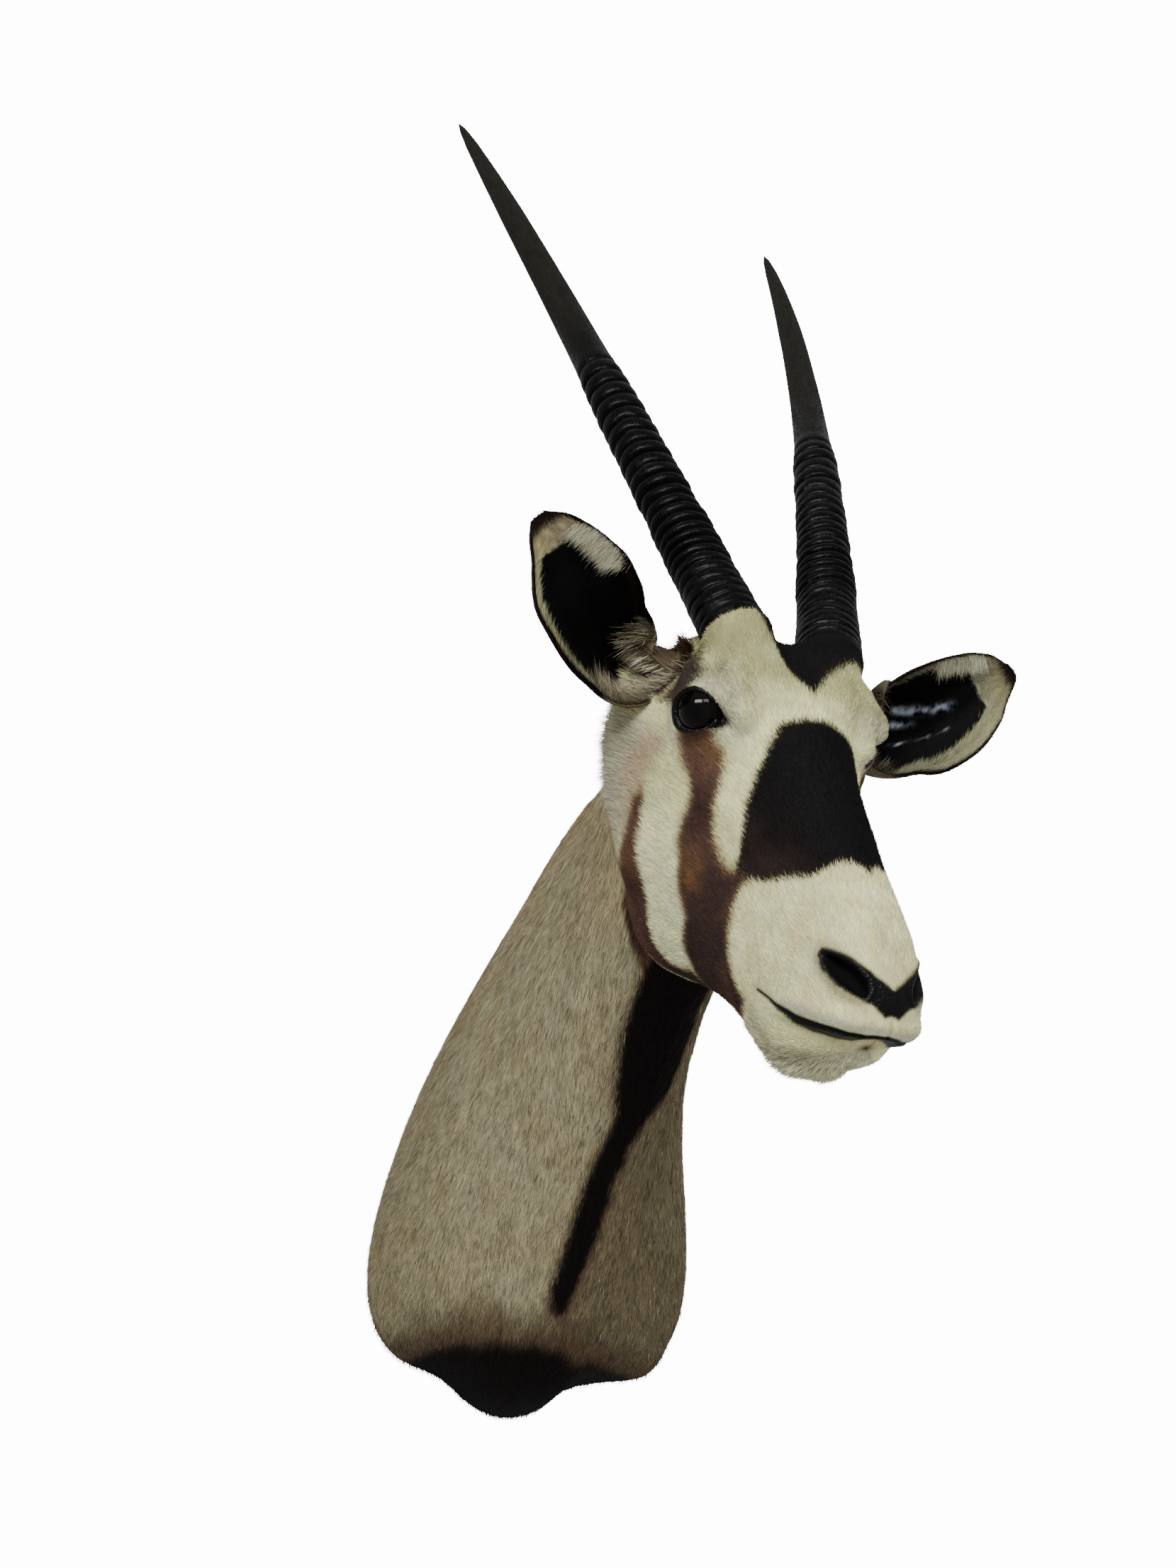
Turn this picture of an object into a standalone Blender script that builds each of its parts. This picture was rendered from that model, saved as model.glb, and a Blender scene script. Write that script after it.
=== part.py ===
"""A gemsbok shoulder mount: head, neck and shoulders under their hide, two long ringed horns, and a back board.

Units are metres, with +Z up. The origin is the centre of the back board's rear face, and that face lies in the
wall plane y = 0. The mount stands out from the wall along -Y, and the animal's own left is +X.
Points on the head are given in the head's own frame: x to the animal's left, y out of the face, z to the nose.
"""

from math import atan2, cos, pi, radians, sin

import bmesh
import bpy
import numpy as np
from mathutils import Matrix, Vector

# ---------------------------------------------------------------- driving dimensions
GAP = 0.0004  # clearance between pieces that touch

# The head's place and attitude. Its frame's origin is on the forehead, between the horn bases and the eyes.
HEAD_ORIGIN = Vector((0.048, -0.620, 0.367))
HEAD_TURN = radians(9.1)  # towards the animal's left
HEAD_DIP = radians(54.8)  # nose below the horizon
HEAD_TILT = radians(-4.4)  # about the nose's own line

# Where each section's control points lie, as shares of the way from its top to its bottom.
HEIGHTS = (0.05, 0.20, 0.40, 0.60, 0.78, 0.91, 0.97)

# The neck, from the wall to the back of the skull: top (y, z), bottom (y, z), middle x, turn in degrees,
# and the half widths at HEIGHTS. The first section is the outline on the wall.
NECK_SECTIONS = (
    ((0.000, 0.300), (0.000, -0.318), -0.004, 0, (0.032, 0.079, 0.134, 0.170, 0.184, 0.150, 0.022)),
    ((-0.060, 0.315), (-0.100, -0.276), -0.006, 0, (0.030, 0.069, 0.117, 0.147, 0.154, 0.119, 0.043)),
    ((-0.130, 0.330), (-0.180, -0.175), -0.007, 0, (0.030, 0.062, 0.100, 0.119, 0.113, 0.079, 0.047)),
    ((-0.200, 0.342), (-0.252, -0.065), -0.002, 2, (0.028, 0.051, 0.079, 0.096, 0.089, 0.062, 0.038)),
    ((-0.270, 0.354), (-0.325, 0.026), 0.006, 5, (0.027, 0.048, 0.068, 0.083, 0.076, 0.053, 0.033)),
    ((-0.340, 0.368), (-0.382, 0.090), 0.016, 8, (0.029, 0.052, 0.068, 0.077, 0.068, 0.048, 0.029)),
    ((-0.410, 0.390), (-0.424, 0.126), 0.027, 10, (0.037, 0.067, 0.079, 0.079, 0.065, 0.047, 0.029)),
    ((-0.480, 0.412), (-0.450, 0.146), 0.035, 11, (0.050, 0.098, 0.112, 0.086, 0.065, 0.047, 0.029)),
)
# The head, from the poll to the lips, in the head's frame: top (y, z), bottom (y, z) and the same half widths.
HEAD_SECTIONS = (
    ((-0.036, -0.075), (-0.250, 0.090), (0.054, 0.100, 0.116, 0.091, 0.064, 0.049, 0.032)),
    ((-0.011, -0.030), (-0.252, 0.100), (0.053, 0.082, 0.092, 0.084, 0.063, 0.050, 0.034)),
    ((-0.001, 0.012), (-0.251, 0.112), (0.047, 0.079, 0.084, 0.078, 0.063, 0.050, 0.034)),
    ((0.000, 0.050), (-0.245, 0.126), (0.038, 0.072, 0.076, 0.071, 0.060, 0.048, 0.033)),
    ((-0.004, 0.090), (-0.232, 0.143), (0.029, 0.051, 0.060, 0.062, 0.056, 0.045, 0.031)),
    ((-0.008, 0.130), (-0.213, 0.163), (0.026, 0.043, 0.052, 0.057, 0.052, 0.041, 0.028)),
    ((-0.012, 0.170), (-0.194, 0.186), (0.025, 0.039, 0.047, 0.052, 0.047, 0.036, 0.025)),
    ((-0.015, 0.210), (-0.176, 0.215), (0.024, 0.037, 0.043, 0.048, 0.044, 0.033, 0.022)),
    ((-0.016, 0.248), (-0.159, 0.245), (0.025, 0.038, 0.044, 0.047, 0.042, 0.032, 0.022)),
    ((-0.020, 0.280), (-0.154, 0.274), (0.025, 0.038, 0.043, 0.045, 0.041, 0.031, 0.022)),
    ((-0.028, 0.304), (-0.144, 0.298), (0.022, 0.035, 0.040, 0.040, 0.035, 0.025, 0.018)),
    ((-0.041, 0.322), (-0.106, 0.314), (0.013, 0.024, 0.029, 0.028, 0.023, 0.015, 0.009)),
    ((-0.060, 0.330), (-0.076, 0.327), (0.003, 0.006, 0.008, 0.008, 0.006, 0.004, 0.002)),
)

# Horns, in the head's frame for the left one. The right one is its mirror image.
HORN_BASE = Vector((0.0457, -0.0147, -0.0321))
HORN_LENGTH = 0.964
HORN_SPREAD = {1: radians(11.4), -1: radians(9.4)}  # each horn's lean away from the middle, left and right
HORN_BOW = radians(5.6)  # how much of that lean is lost from base to tip, half of it above the mean and half below
HORN_LEAN = radians(-4.3)  # its lean out of the face at the base
HORN_BEND = radians(7.0)  # its backward bend over the whole length
HORN_ROOT = 0.022  # how deep it is seated in the hide
COLLAR_SPAN = (-0.085, -0.012)  # the hide's swelling round the horn's foot, along the horn from its base
COLLAR_RADII = (0.0113, 0.0310)
HORN_SHAPE = ((0.0, 0.0262), (0.14, 0.0215), (0.30, 0.0195), (0.42, 0.0172), (0.55, 0.0152), (0.70, 0.0133),
              (0.82, 0.0103), (0.92, 0.0073), (0.975, 0.0042), (1.0, 0.0010))  # share of the length, radius
HORN_SIDES_RESOLUTION = 3  # a curve bevel of 10 sides
WRINKLED_LENGTH = 0.070  # close wrinkles above the base
WRINKLES = 7
RINGED_LENGTH = 0.365  # base to the last ring
RINGS = 19
RING_PITCH_RATIO = 2.3  # the last ring's pitch over the first one's
RING_CREST, RING_GROOVE = 0.0008, 0.0017  # above and below the plain radius

# Eyes, in the head's frame for the left one.
EYE_CENTRE = Vector((0.0665, -0.0450, 0.0490))
EYE_RADIUS = 0.0180
LID_RADIUS, LID_THICKNESS = 0.0185, 0.0050
EYE_AXIS = Vector((0.90, 0.30, 0.30))

# Ears, in the head's frame for the left one: the back of the cupped leaf, the radius of its curl and how far
# round it curls to each side, from the root to the tip.
EAR_ROWS = (
    ((0.056, -0.078, -0.052), 0.020, 165),
    ((0.085, -0.081, -0.050), 0.025, 140),
    ((0.110, -0.084, -0.046), 0.0285, 115),
    ((0.132, -0.077, -0.045), 0.0350, 98),
    ((0.150, -0.056, -0.041), 0.0435, 82),
    ((0.1735, -0.034, -0.0405), 0.0475, 72),
    ((0.193, -0.016, -0.0430), 0.0430, 62),
    ((0.211, 0.002, -0.048), 0.0310, 50),
    ((0.221, 0.017, -0.050), 0.011, 40),
)
EAR_FACING = Vector((-0.13, 0.62, 0.77))
EAR_THICKNESS = 0.006
EAR_COLUMNS = 7

# Nostrils and mouth, in the head's frame for the left side.
NOSTRIL_CENTRE = Vector((0.0360, -0.0390, 0.2920))
NOSTRIL_AXES = Vector((0.0150, 0.0075, 0.0060))
NOSTRIL_TURN = radians(38)
MOUTH_LINE = ((0.047, -0.122, 0.243), (0.044, -0.111, 0.260), (0.043, -0.099, 0.276), (0.039, -0.082, 0.300),
              (0.030, -0.070, 0.316), (0.017, -0.062, 0.3245), (0.000, -0.058, 0.3275))
MOUTH_RADIUS = 0.0028

# Back board and hanger.
BOARD_THICKNESS = 0.019
BOARD_SHARE = 0.86  # of the hide's outline on the wall
PLATE_WIDTH, PLATE_HEIGHT, PLATE_THICKNESS = 0.080, 0.050, 0.0025
PLATE_Z = 0.150
KEYHOLE_RADIUS, KEYHOLE_SLOT, KEYHOLE_RISE = 0.0070, 0.0034, 0.012
KEYHOLE_DEPTH = 0.012  # room behind the plate for a screw's head
SCREW_SPACING = 0.056
SCREW_HEAD_RADIUS, SCREW_HEAD_HEIGHT, SCREW_SHANK_RADIUS, SCREW_LENGTH = 0.0038, 0.0016, 0.0018, 0.014


def head_matrix():
    """The head's frame: columns are the animal's left, out of the face, and towards the nose."""
    nose = Vector((sin(HEAD_TURN) * cos(HEAD_DIP), -cos(HEAD_TURN) * cos(HEAD_DIP), -sin(HEAD_DIP)))
    level = Vector((cos(HEAD_TURN), sin(HEAD_TURN), 0))
    left = level * cos(HEAD_TILT) + nose.cross(level) * sin(HEAD_TILT)
    out = nose.cross(left)
    frame = Matrix((left, out, nose)).transposed().to_4x4()
    frame.translation = HEAD_ORIGIN
    return frame


HEAD = head_matrix()


def section_ring(top, bottom, sideways, half_widths):
    """The control points of one section, down its left side and up its right."""
    left = [top.lerp(bottom, h) + sideways * w for h, w in zip(HEIGHTS, half_widths)]
    right = [top.lerp(bottom, h) - sideways * w for h, w in zip(HEIGHTS, half_widths)]
    return [top, *left, bottom, *reversed(right)]


def hide_cage():
    """Every section's ring, from the wall to the lips, in world space."""
    rings = []
    for (top_y, top_z), (low_y, low_z), x, turn, widths in NECK_SECTIONS:
        sideways = Vector((cos(radians(turn)), sin(radians(turn)), 0))
        rings.append(section_ring(Vector((x, top_y, top_z)), Vector((x, low_y, low_z)), sideways, widths))
    left = HEAD.to_3x3() @ Vector((1, 0, 0))
    for (top_y, top_z), (low_y, low_z), widths in HEAD_SECTIONS:
        top, low = HEAD @ Vector((0, top_y, top_z)), HEAD @ Vector((0, low_y, low_z))
        rings.append(section_ring(top, low, left, widths))
    return rings


# ---------------------------------------------------------------- helpers
def material(name, colour, roughness, metallic=0.0):
    made = bpy.data.materials.new(name)
    made.use_nodes = True
    shader = made.node_tree.nodes["Principled BSDF"]
    shader.inputs["Base Color"].default_value = (*colour, 1)
    shader.inputs["Roughness"].default_value = roughness
    shader.inputs["Metallic"].default_value = metallic
    made.diffuse_color = (*colour, 1)
    return made


def collection(name):
    made = bpy.data.collections.new(name)
    bpy.context.scene.collection.children.link(made)
    return made


def place(name, data, into, finish=None, parent=None):
    made = bpy.data.objects.new(name, data)
    into.objects.link(made)
    made.parent = parent
    if finish:
        data.materials.append(finish)
    return made


def mesh_of(build, name):
    """A mesh from a function that fills a bmesh."""
    work = bmesh.new()
    build(work)
    bmesh.ops.recalc_face_normals(work, faces=work.faces)
    mesh = bpy.data.meshes.new(name)
    work.to_mesh(mesh)
    work.free()
    return mesh


def loft(work, rings):
    """Quads between closed rings, with a face over each end."""
    rows = [[work.verts.new(p) for p in ring] for ring in rings]
    count = len(rows[0])
    for row, following in zip(rows, rows[1:]):
        for i in range(count):
            j = (i + 1) % count
            work.faces.new((row[i], following[i], following[j], row[j]))
    work.faces.new(rows[0])
    work.faces.new(rows[-1])
    return rows


def boolean(target, tool, operation):
    cut = target.modifiers.new(f"{operation.lower()} {tool.name}", "BOOLEAN")
    cut.operation = operation
    cut.object = tool
    cut.solver = "EXACT"
    tool.hide_render = True
    tool.display_type = "WIRE"


def subdivide(target, levels):
    smooth = target.modifiers.new("Subdivision", "SUBSURF")
    smooth.levels = smooth.render_levels = levels


def mirror_x(point):
    return Vector((-point[0], point[1], point[2]))


def frozen(source, name, into):
    """A curve object's evaluated shape as a mesh object, with its caps welded. The curve is removed."""
    bpy.context.view_layer.update()
    shape = source.evaluated_get(bpy.context.evaluated_depsgraph_get())
    mesh = bpy.data.meshes.new_from_object(shape)
    work = bmesh.new()
    work.from_mesh(mesh)
    bmesh.ops.remove_doubles(work, verts=work.verts, dist=0.00001)
    work.to_mesh(mesh)
    work.free()
    made = place(name, mesh, into)
    made.matrix_world = source.matrix_world.copy()
    bpy.data.objects.remove(source)
    return made


# ---------------------------------------------------------------- hide
def hide_body(into, finish):
    """Head, neck and shoulders as one soft form. The rim on the wall is creased, so that it stays flat."""
    def build(work):
        rows = loft(work, hide_cage())
        crease = work.edges.layers.float.new("crease_edge")
        for edge in work.edges:
            if all(v in rows[0] for v in edge.verts):
                edge[crease] = 1.0

    body = place("hide", mesh_of(build, "hide"), into, finish)
    subdivide(body, 1)
    return body


def ear_blade(name, side, into, head):
    """A cupped leaf: each row is an arc round the middle line, nearly closed at the base and open at the tip."""
    middle = [Vector(point) for point, radius, curl in EAR_ROWS]

    def build(work):
        rows = []
        for k, (point, radius, curl) in enumerate(EAR_ROWS):
            along = (middle[min(k + 1, len(middle) - 1)] - middle[max(k - 1, 0)]).normalized()
            facing = (EAR_FACING - along * EAR_FACING.dot(along)).normalized()
            across = along.cross(facing)
            row = []
            for i in range(EAR_COLUMNS):
                turn = radians(curl) * (2 * i / (EAR_COLUMNS - 1) - 1)
                spot = middle[k] + radius * (across * sin(turn) + facing * (1 - cos(turn)))
                row.append(work.verts.new(spot if side > 0 else mirror_x(spot)))
            rows.append(row)
        for row, following in zip(rows, rows[1:]):
            for i in range(EAR_COLUMNS - 1):
                work.faces.new((row[i], following[i], following[i + 1], row[i + 1]))

    ear = place(name, mesh_of(build, name), into, parent=head)
    shell = ear.modifiers.new("Thickness", "SOLIDIFY")
    shell.thickness = EAR_THICKNESS
    shell.offset = 0
    return ear


def eyelids(name, side, into, head):
    """A ring of hide round the eye."""
    centre = EYE_CENTRE if side > 0 else mirror_x(EYE_CENTRE)
    axis = (EYE_AXIS if side > 0 else mirror_x(EYE_AXIS)).normalized()
    bpy.ops.mesh.primitive_torus_add(
        major_radius=LID_RADIUS, minor_radius=LID_THICKNESS, major_segments=14, minor_segments=6)
    lids = bpy.context.object
    lids.name = name
    for owner in lids.users_collection:
        owner.objects.unlink(lids)
    into.objects.link(lids)
    lids.parent = head
    lids.location = centre + axis * LID_THICKNESS
    lids.rotation_euler = axis.to_track_quat("Z", "Y").to_euler()
    return lids


def ball(name, radius, into, parent, location, segments=14, rings=8):
    def build(work):
        bmesh.ops.create_uvsphere(work, u_segments=segments, v_segments=rings, radius=radius)

    made = place(name, mesh_of(build, name), into, parent=parent)
    made.location = location
    return made


def nostril_cutter(name, side, into, head):
    cutter = ball(name, 1.0, into, head, NOSTRIL_CENTRE if side > 0 else mirror_x(NOSTRIL_CENTRE), 12, 8)
    cutter.scale = NOSTRIL_AXES
    cutter.rotation_euler = (0, 0, side * NOSTRIL_TURN)
    return cutter


def mouth_cutter(into, head):
    """A tube along the line of the lips, from one corner round the front to the other."""
    left = [Vector(p) for p in MOUTH_LINE]
    points = left + [mirror_x(p) for p in reversed(left[:-1])]
    curve = tube_curve("mouth", points, [MOUTH_RADIUS] * len(points), 2, smooth=True)
    source = place("mouth_curve", curve, into, parent=head)
    return frozen(source, "mouth_cut", into)


# ---------------------------------------------------------------- horns
def tube_curve(name, points, radii, resolution, smooth=False):
    """A curve of round section whose radius changes from point to point, with its ends closed."""
    curve = bpy.data.curves.new(name, "CURVE")
    curve.dimensions = "3D"
    curve.bevel_depth = 1.0
    curve.bevel_resolution = resolution
    curve.use_fill_caps = True
    curve.twist_mode = "MINIMUM"
    spline = curve.splines.new("NURBS" if smooth else "POLY")
    spline.points.add(len(points) - 1)
    if smooth:
        spline.order_u = 4
        spline.use_endpoint_u = True
        curve.resolution_u = 3
    for spot, point, radius in zip(spline.points, points, radii):
        spot.co = (*point, 1)
        spot.radius = radius
    return curve


def horn_path(distances, side):
    """Points at these distances from the base along the horn's middle line, in the head's frame."""
    steps = np.linspace(0, HORN_LENGTH, 181)
    lean = HORN_LEAN + HORN_BEND * steps / HORN_LENGTH
    spread = HORN_SPREAD[side] + HORN_BOW * (0.5 - steps / HORN_LENGTH)
    heading = np.stack([side * np.sin(spread), -np.cos(spread) * np.sin(lean), -np.cos(spread) * np.cos(lean)],
                       axis=1)
    lengths = np.diff(steps)[:, None]
    path = np.concatenate([np.zeros((1, 3)), np.cumsum((heading[1:] + heading[:-1]) / 2 * lengths, axis=0)])
    base = np.array([side * HORN_BASE.x, HORN_BASE.y, HORN_BASE.z])
    root = heading[0] * np.minimum(distances, 0)[:, None]
    on_path = [np.interp(np.maximum(distances, 0), steps, path[:, k]) for k in range(3)]
    return base + np.stack(on_path, axis=1) + root


def ring_starts():
    """Where each ring begins, from the wrinkles up. The pitch grows evenly towards the tip."""
    pitches = np.linspace(1.0, RING_PITCH_RATIO, RINGS)
    pitches *= (RINGED_LENGTH - WRINKLED_LENGTH) / pitches.sum()
    return WRINKLED_LENGTH + np.concatenate([[0.0], np.cumsum(pitches)])


def horn_stations():
    """Distances from the base and radii: seat, wrinkles, rings with a groove under each, and the plain tip."""
    def plain(distance):
        shares, radii = zip(*HORN_SHAPE)
        return float(np.interp(distance / HORN_LENGTH, shares, radii))

    stations = [(-HORN_ROOT, plain(0)), (-HORN_ROOT / 2, plain(0))]
    pitch = WRINKLED_LENGTH / WRINKLES
    for k in range(WRINKLES):
        stations.append((k * pitch, plain(k * pitch) - RING_GROOVE / 2))
        stations.append(((k + 0.55) * pitch, plain((k + 0.55) * pitch) + RING_CREST / 2))
    starts = ring_starts()
    for start, end in zip(starts, starts[1:]):
        for share, rise in ((0.0, -RING_GROOVE), (0.28, RING_CREST * 0.6), (0.72, RING_CREST)):
            distance = start + share * (end - start)
            stations.append((distance, plain(distance) + rise))
    for share in np.linspace(starts[-1] / HORN_LENGTH, 0.92, 8):
        stations.append((share * HORN_LENGTH, plain(share * HORN_LENGTH)))
    for share in (0.95, 0.975, 0.992, 1.0):
        stations.append((share * HORN_LENGTH, plain(share * HORN_LENGTH)))
    return stations


def horn(name, side, into, finish, head):
    distances, radii = map(np.array, zip(*horn_stations()))
    points = horn_path(distances, side)
    return place(name, tube_curve(name, points, radii, HORN_SIDES_RESOLUTION), into, finish, head)


def horn_cone(name, side, span, radii, segments, into, head):
    """A cone round the horn's middle line, over a span of distances from its base."""
    low, high = (Vector(p) for p in horn_path(np.array(span), side))

    def build(work):
        bmesh.ops.create_cone(work, cap_ends=True, segments=segments, radius1=radii[0], radius2=radii[1],
                              depth=(high - low).length)

    made = place(name, mesh_of(build, name), into, parent=head)
    made.location = (low + high) / 2
    made.rotation_euler = (high - low).to_track_quat("Z", "Y").to_euler()
    return made


def horn_collar(name, side, into, head):
    """The swelling of the hide that rises up the forehead to the horn's foot."""
    return horn_cone(name, side, COLLAR_SPAN, COLLAR_RADII, 16, into, head)


def horn_socket(name, side, into, head):
    """The round seat in the hide for a horn's root."""
    radius = HORN_SHAPE[0][1] + RING_CREST + GAP
    return horn_cone(name, side, (-HORN_ROOT - GAP, 0.06), (radius, radius), 16, into, head)


# ---------------------------------------------------------------- back board and hanger
def wall_outline(share):
    """The hide's outline on the wall, shrunk about its middle, as (x, z)."""
    ring = [Vector((p.x, p.z)) for p in hide_cage()[0]]
    count = len(ring)
    smooth = [(ring[i - 1] + 4 * ring[i] + ring[(i + 1) % count]) / 6 for i in range(count)]
    middle = sum(smooth, Vector((0, 0))) / count
    ring = []
    for i in range(count):
        before, here, after, beyond = (smooth[(i + k) % count] for k in (-1, 0, 1, 2))
        ring.append(here)
        ring.append((9 * (here + after) - before - beyond) / 16)
    return [middle + (p - middle) * share for p in ring]


def prism(outline, front, rear):
    """Fills a bmesh with an outline in x and z, drawn out along y."""
    def build(work):
        loft(work, [[Vector((x, y, z)) for x, z in outline] for y in (front, rear)])

    return build


def back_board(into, finish):
    curve = bpy.data.curves.new("back_board", "CURVE")
    curve.dimensions = "2D"
    curve.fill_mode = "BOTH"
    curve.extrude = BOARD_THICKNESS / 2
    outline = wall_outline(BOARD_SHARE)
    spline = curve.splines.new("POLY")
    spline.points.add(len(outline) - 1)
    spline.use_cyclic_u = True
    for spot, (x, z) in zip(spline.points, outline):
        spot.co = (x, z, 0, 1)
    source = place("board_curve", curve, into)
    source.rotation_euler = (pi / 2, 0, 0)
    source.location.y = -BOARD_THICKNESS / 2
    board = frozen(source, "back_board", into)
    board.data.materials.append(finish)
    return board


def board_pocket(into):
    """The space in the hide's back for the board, open to the wall."""
    outline = wall_outline(BOARD_SHARE + 0.006)
    return place("board_pocket", mesh_of(prism(outline, -BOARD_THICKNESS - GAP, 0.01), "board_pocket"), into)


def block_cutter(name, width, depth, height, z, into):
    """A box that cuts into the board from the wall side."""
    def build(work):
        bmesh.ops.create_cube(work, size=1.0)
        bmesh.ops.scale(work, vec=(width, depth * 2, height), verts=work.verts)

    made = place(name, mesh_of(build, name), into)
    made.location.z = z
    return made


def peg(name, radius, length, into, finish, location, segments=12):
    """A cylinder along y, centred on its place."""
    def build(work):
        bmesh.ops.create_cone(work, cap_ends=True, segments=segments, radius1=radius, radius2=radius, depth=length)
        bmesh.ops.rotate(work, verts=work.verts, matrix=Matrix.Rotation(pi / 2, 3, "X"))

    made = place(name, mesh_of(build, name), into, finish)
    made.location = location
    return made


def keyhole_outline():
    """A round hole with a slot above it, as (x, z) about the hole's centre."""
    opening = atan2(KEYHOLE_SLOT, KEYHOLE_RADIUS)
    turns = np.linspace(pi / 2 + opening, pi / 2 - opening + 2 * pi, 15)
    hole = [(KEYHOLE_RADIUS * cos(t), KEYHOLE_RADIUS * sin(t)) for t in turns]
    top = [(KEYHOLE_SLOT * cos(t), KEYHOLE_RISE + KEYHOLE_SLOT * sin(t)) for t in np.linspace(0, pi, 7)]
    return hole + top


def hanger(into, tools, steel, board):
    """A steel plate let into the board, with a keyhole for the wall's screw, and its two fixing screws."""
    recess = block_cutter("plate_recess", PLATE_WIDTH + 2 * GAP, PLATE_THICKNESS + GAP, PLATE_HEIGHT + 2 * GAP,
                          PLATE_Z, tools)
    room = block_cutter("keyhole_room", 0.024, KEYHOLE_DEPTH, 0.036, PLATE_Z, tools)
    boolean(board, recess, "DIFFERENCE")
    boolean(board, room, "DIFFERENCE")

    def build(work):
        bmesh.ops.create_cube(work, size=1.0)
        bmesh.ops.scale(work, vec=(PLATE_WIDTH, PLATE_THICKNESS, PLATE_HEIGHT), verts=work.verts)

    plate = place("hanger_plate", mesh_of(build, "hanger_plate"), into, steel)
    plate.location = (0, -PLATE_THICKNESS / 2, PLATE_Z)
    hole = [(x, z + PLATE_Z - 0.006) for x, z in keyhole_outline()]
    keyhole = place("keyhole", mesh_of(prism(hole, -0.006, 0.003), "keyhole"), tools)
    boolean(plate, keyhole, "DIFFERENCE")
    for side, word in ((1, "left"), (-1, "right")):
        x = side * SCREW_SPACING / 2
        seat = peg(f"screw_seat_{word}", SCREW_HEAD_RADIUS + GAP, 2 * (SCREW_HEAD_HEIGHT + GAP), tools, None,
                   (x, 0, PLATE_Z))
        bore = peg(f"screw_bore_{word}", SCREW_SHANK_RADIUS + GAP, 2 * (SCREW_LENGTH + GAP), tools, None,
                   (x, 0, PLATE_Z))
        boolean(plate, seat, "DIFFERENCE")
        boolean(plate, bore, "DIFFERENCE")
        boolean(board, bore, "DIFFERENCE")
        screw = peg(f"hanger_screw_{word}", SCREW_HEAD_RADIUS, SCREW_HEAD_HEIGHT, into, steel,
                    (x, -SCREW_HEAD_HEIGHT / 2, PLATE_Z))
        shank = peg(f"shank_{word}", SCREW_SHANK_RADIUS, SCREW_LENGTH - 0.0008, tools, None,
                    (x, -SCREW_LENGTH / 2 - 0.0004, PLATE_Z), 8)
        boolean(screw, shank, "UNION")


# ---------------------------------------------------------------- the whole mount
def build_mount():
    for old in list(bpy.data.objects):
        bpy.data.objects.remove(old)
    parts, tools = collection("gemsbok_shoulder_mount"), collection("cutters")
    fawn = material("hide", (0.42, 0.35, 0.27), 0.85)
    black_horn = material("horn", (0.030, 0.026, 0.024), 0.35)
    glass = material("eye_glass", (0.020, 0.012, 0.008), 0.05)
    plywood = material("plywood", (0.52, 0.38, 0.22), 0.70)
    steel = material("steel", (0.55, 0.55, 0.56), 0.35, 1.0)

    head = bpy.data.objects.new("head_frame", None)
    parts.objects.link(head)
    head.matrix_world = HEAD

    body = hide_body(parts, fawn)
    for side, word in ((1, "left"), (-1, "right")):
        boolean(body, ear_blade(f"ear_{word}", side, tools, head), "UNION")
        boolean(body, eyelids(f"lids_{word}", side, tools, head), "UNION")
        boolean(body, horn_collar(f"horn_collar_{word}", side, tools, head), "UNION")
        centre = EYE_CENTRE if side > 0 else mirror_x(EYE_CENTRE)
        boolean(body, ball(f"eye_socket_{word}", EYE_RADIUS + GAP, tools, head, centre), "DIFFERENCE")
        boolean(body, horn_socket(f"horn_socket_{word}", side, tools, head), "DIFFERENCE")
        boolean(body, nostril_cutter(f"nostril_{word}", side, tools, head), "DIFFERENCE")
        eye = ball(f"eye_{word}", EYE_RADIUS, parts, head, centre)
        eye.data.materials.append(glass)
        eye.data.shade_smooth()
        horn(f"horn_{word}", side, parts, black_horn, head)
    boolean(body, mouth_cutter(tools, head), "DIFFERENCE")
    boolean(body, board_pocket(tools), "DIFFERENCE")

    board = back_board(parts, plywood)
    hanger(parts, tools, steel, board)


build_mount()
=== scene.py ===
"""A gemsbok shoulder mount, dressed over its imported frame: hide, hair, ears, eyes, horns and back board.

Metres, +Z up. The wall is the plane y = 0 and the mount stands out from it along -Y. The animal's own left
is +X. Points on the head are given in the head's own frame: x to the animal's left, y out of the face, z to
the nose. The hide is a lofted form. A place on it is (v, u): v counts the sections from the wall (0) to the
lips (20), and u goes once round from the top of the neck (0) down the animal's left (4) to the throat (8)
and up its right (12).
"""

from math import cos, pi, radians, sin

import bpy
import numpy as np
from mathutils import Matrix, Vector
from mathutils.bvhtree import BVHTree
from mathutils.kdtree import KDTree


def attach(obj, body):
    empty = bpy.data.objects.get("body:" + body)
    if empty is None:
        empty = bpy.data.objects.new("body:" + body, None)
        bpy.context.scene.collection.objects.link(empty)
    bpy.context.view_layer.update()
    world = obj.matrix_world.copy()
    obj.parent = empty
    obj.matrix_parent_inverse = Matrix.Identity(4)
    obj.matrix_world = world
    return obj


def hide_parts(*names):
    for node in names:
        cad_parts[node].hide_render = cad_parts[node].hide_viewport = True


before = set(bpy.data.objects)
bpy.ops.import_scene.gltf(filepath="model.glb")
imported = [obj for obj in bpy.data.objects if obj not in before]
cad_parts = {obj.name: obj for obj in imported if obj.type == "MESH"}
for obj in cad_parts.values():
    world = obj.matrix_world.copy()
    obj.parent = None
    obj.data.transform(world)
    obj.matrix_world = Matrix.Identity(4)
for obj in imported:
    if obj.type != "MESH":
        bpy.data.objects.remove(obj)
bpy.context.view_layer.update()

# ---------------------------------------------------------------- driving dimensions, as in the part's source
HEAD_ORIGIN = np.array([0.048, -0.62, 0.367])
HEAD_TURN, HEAD_DIP, HEAD_TILT = radians(9.1), radians(54.8), radians(-4.4)
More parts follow.
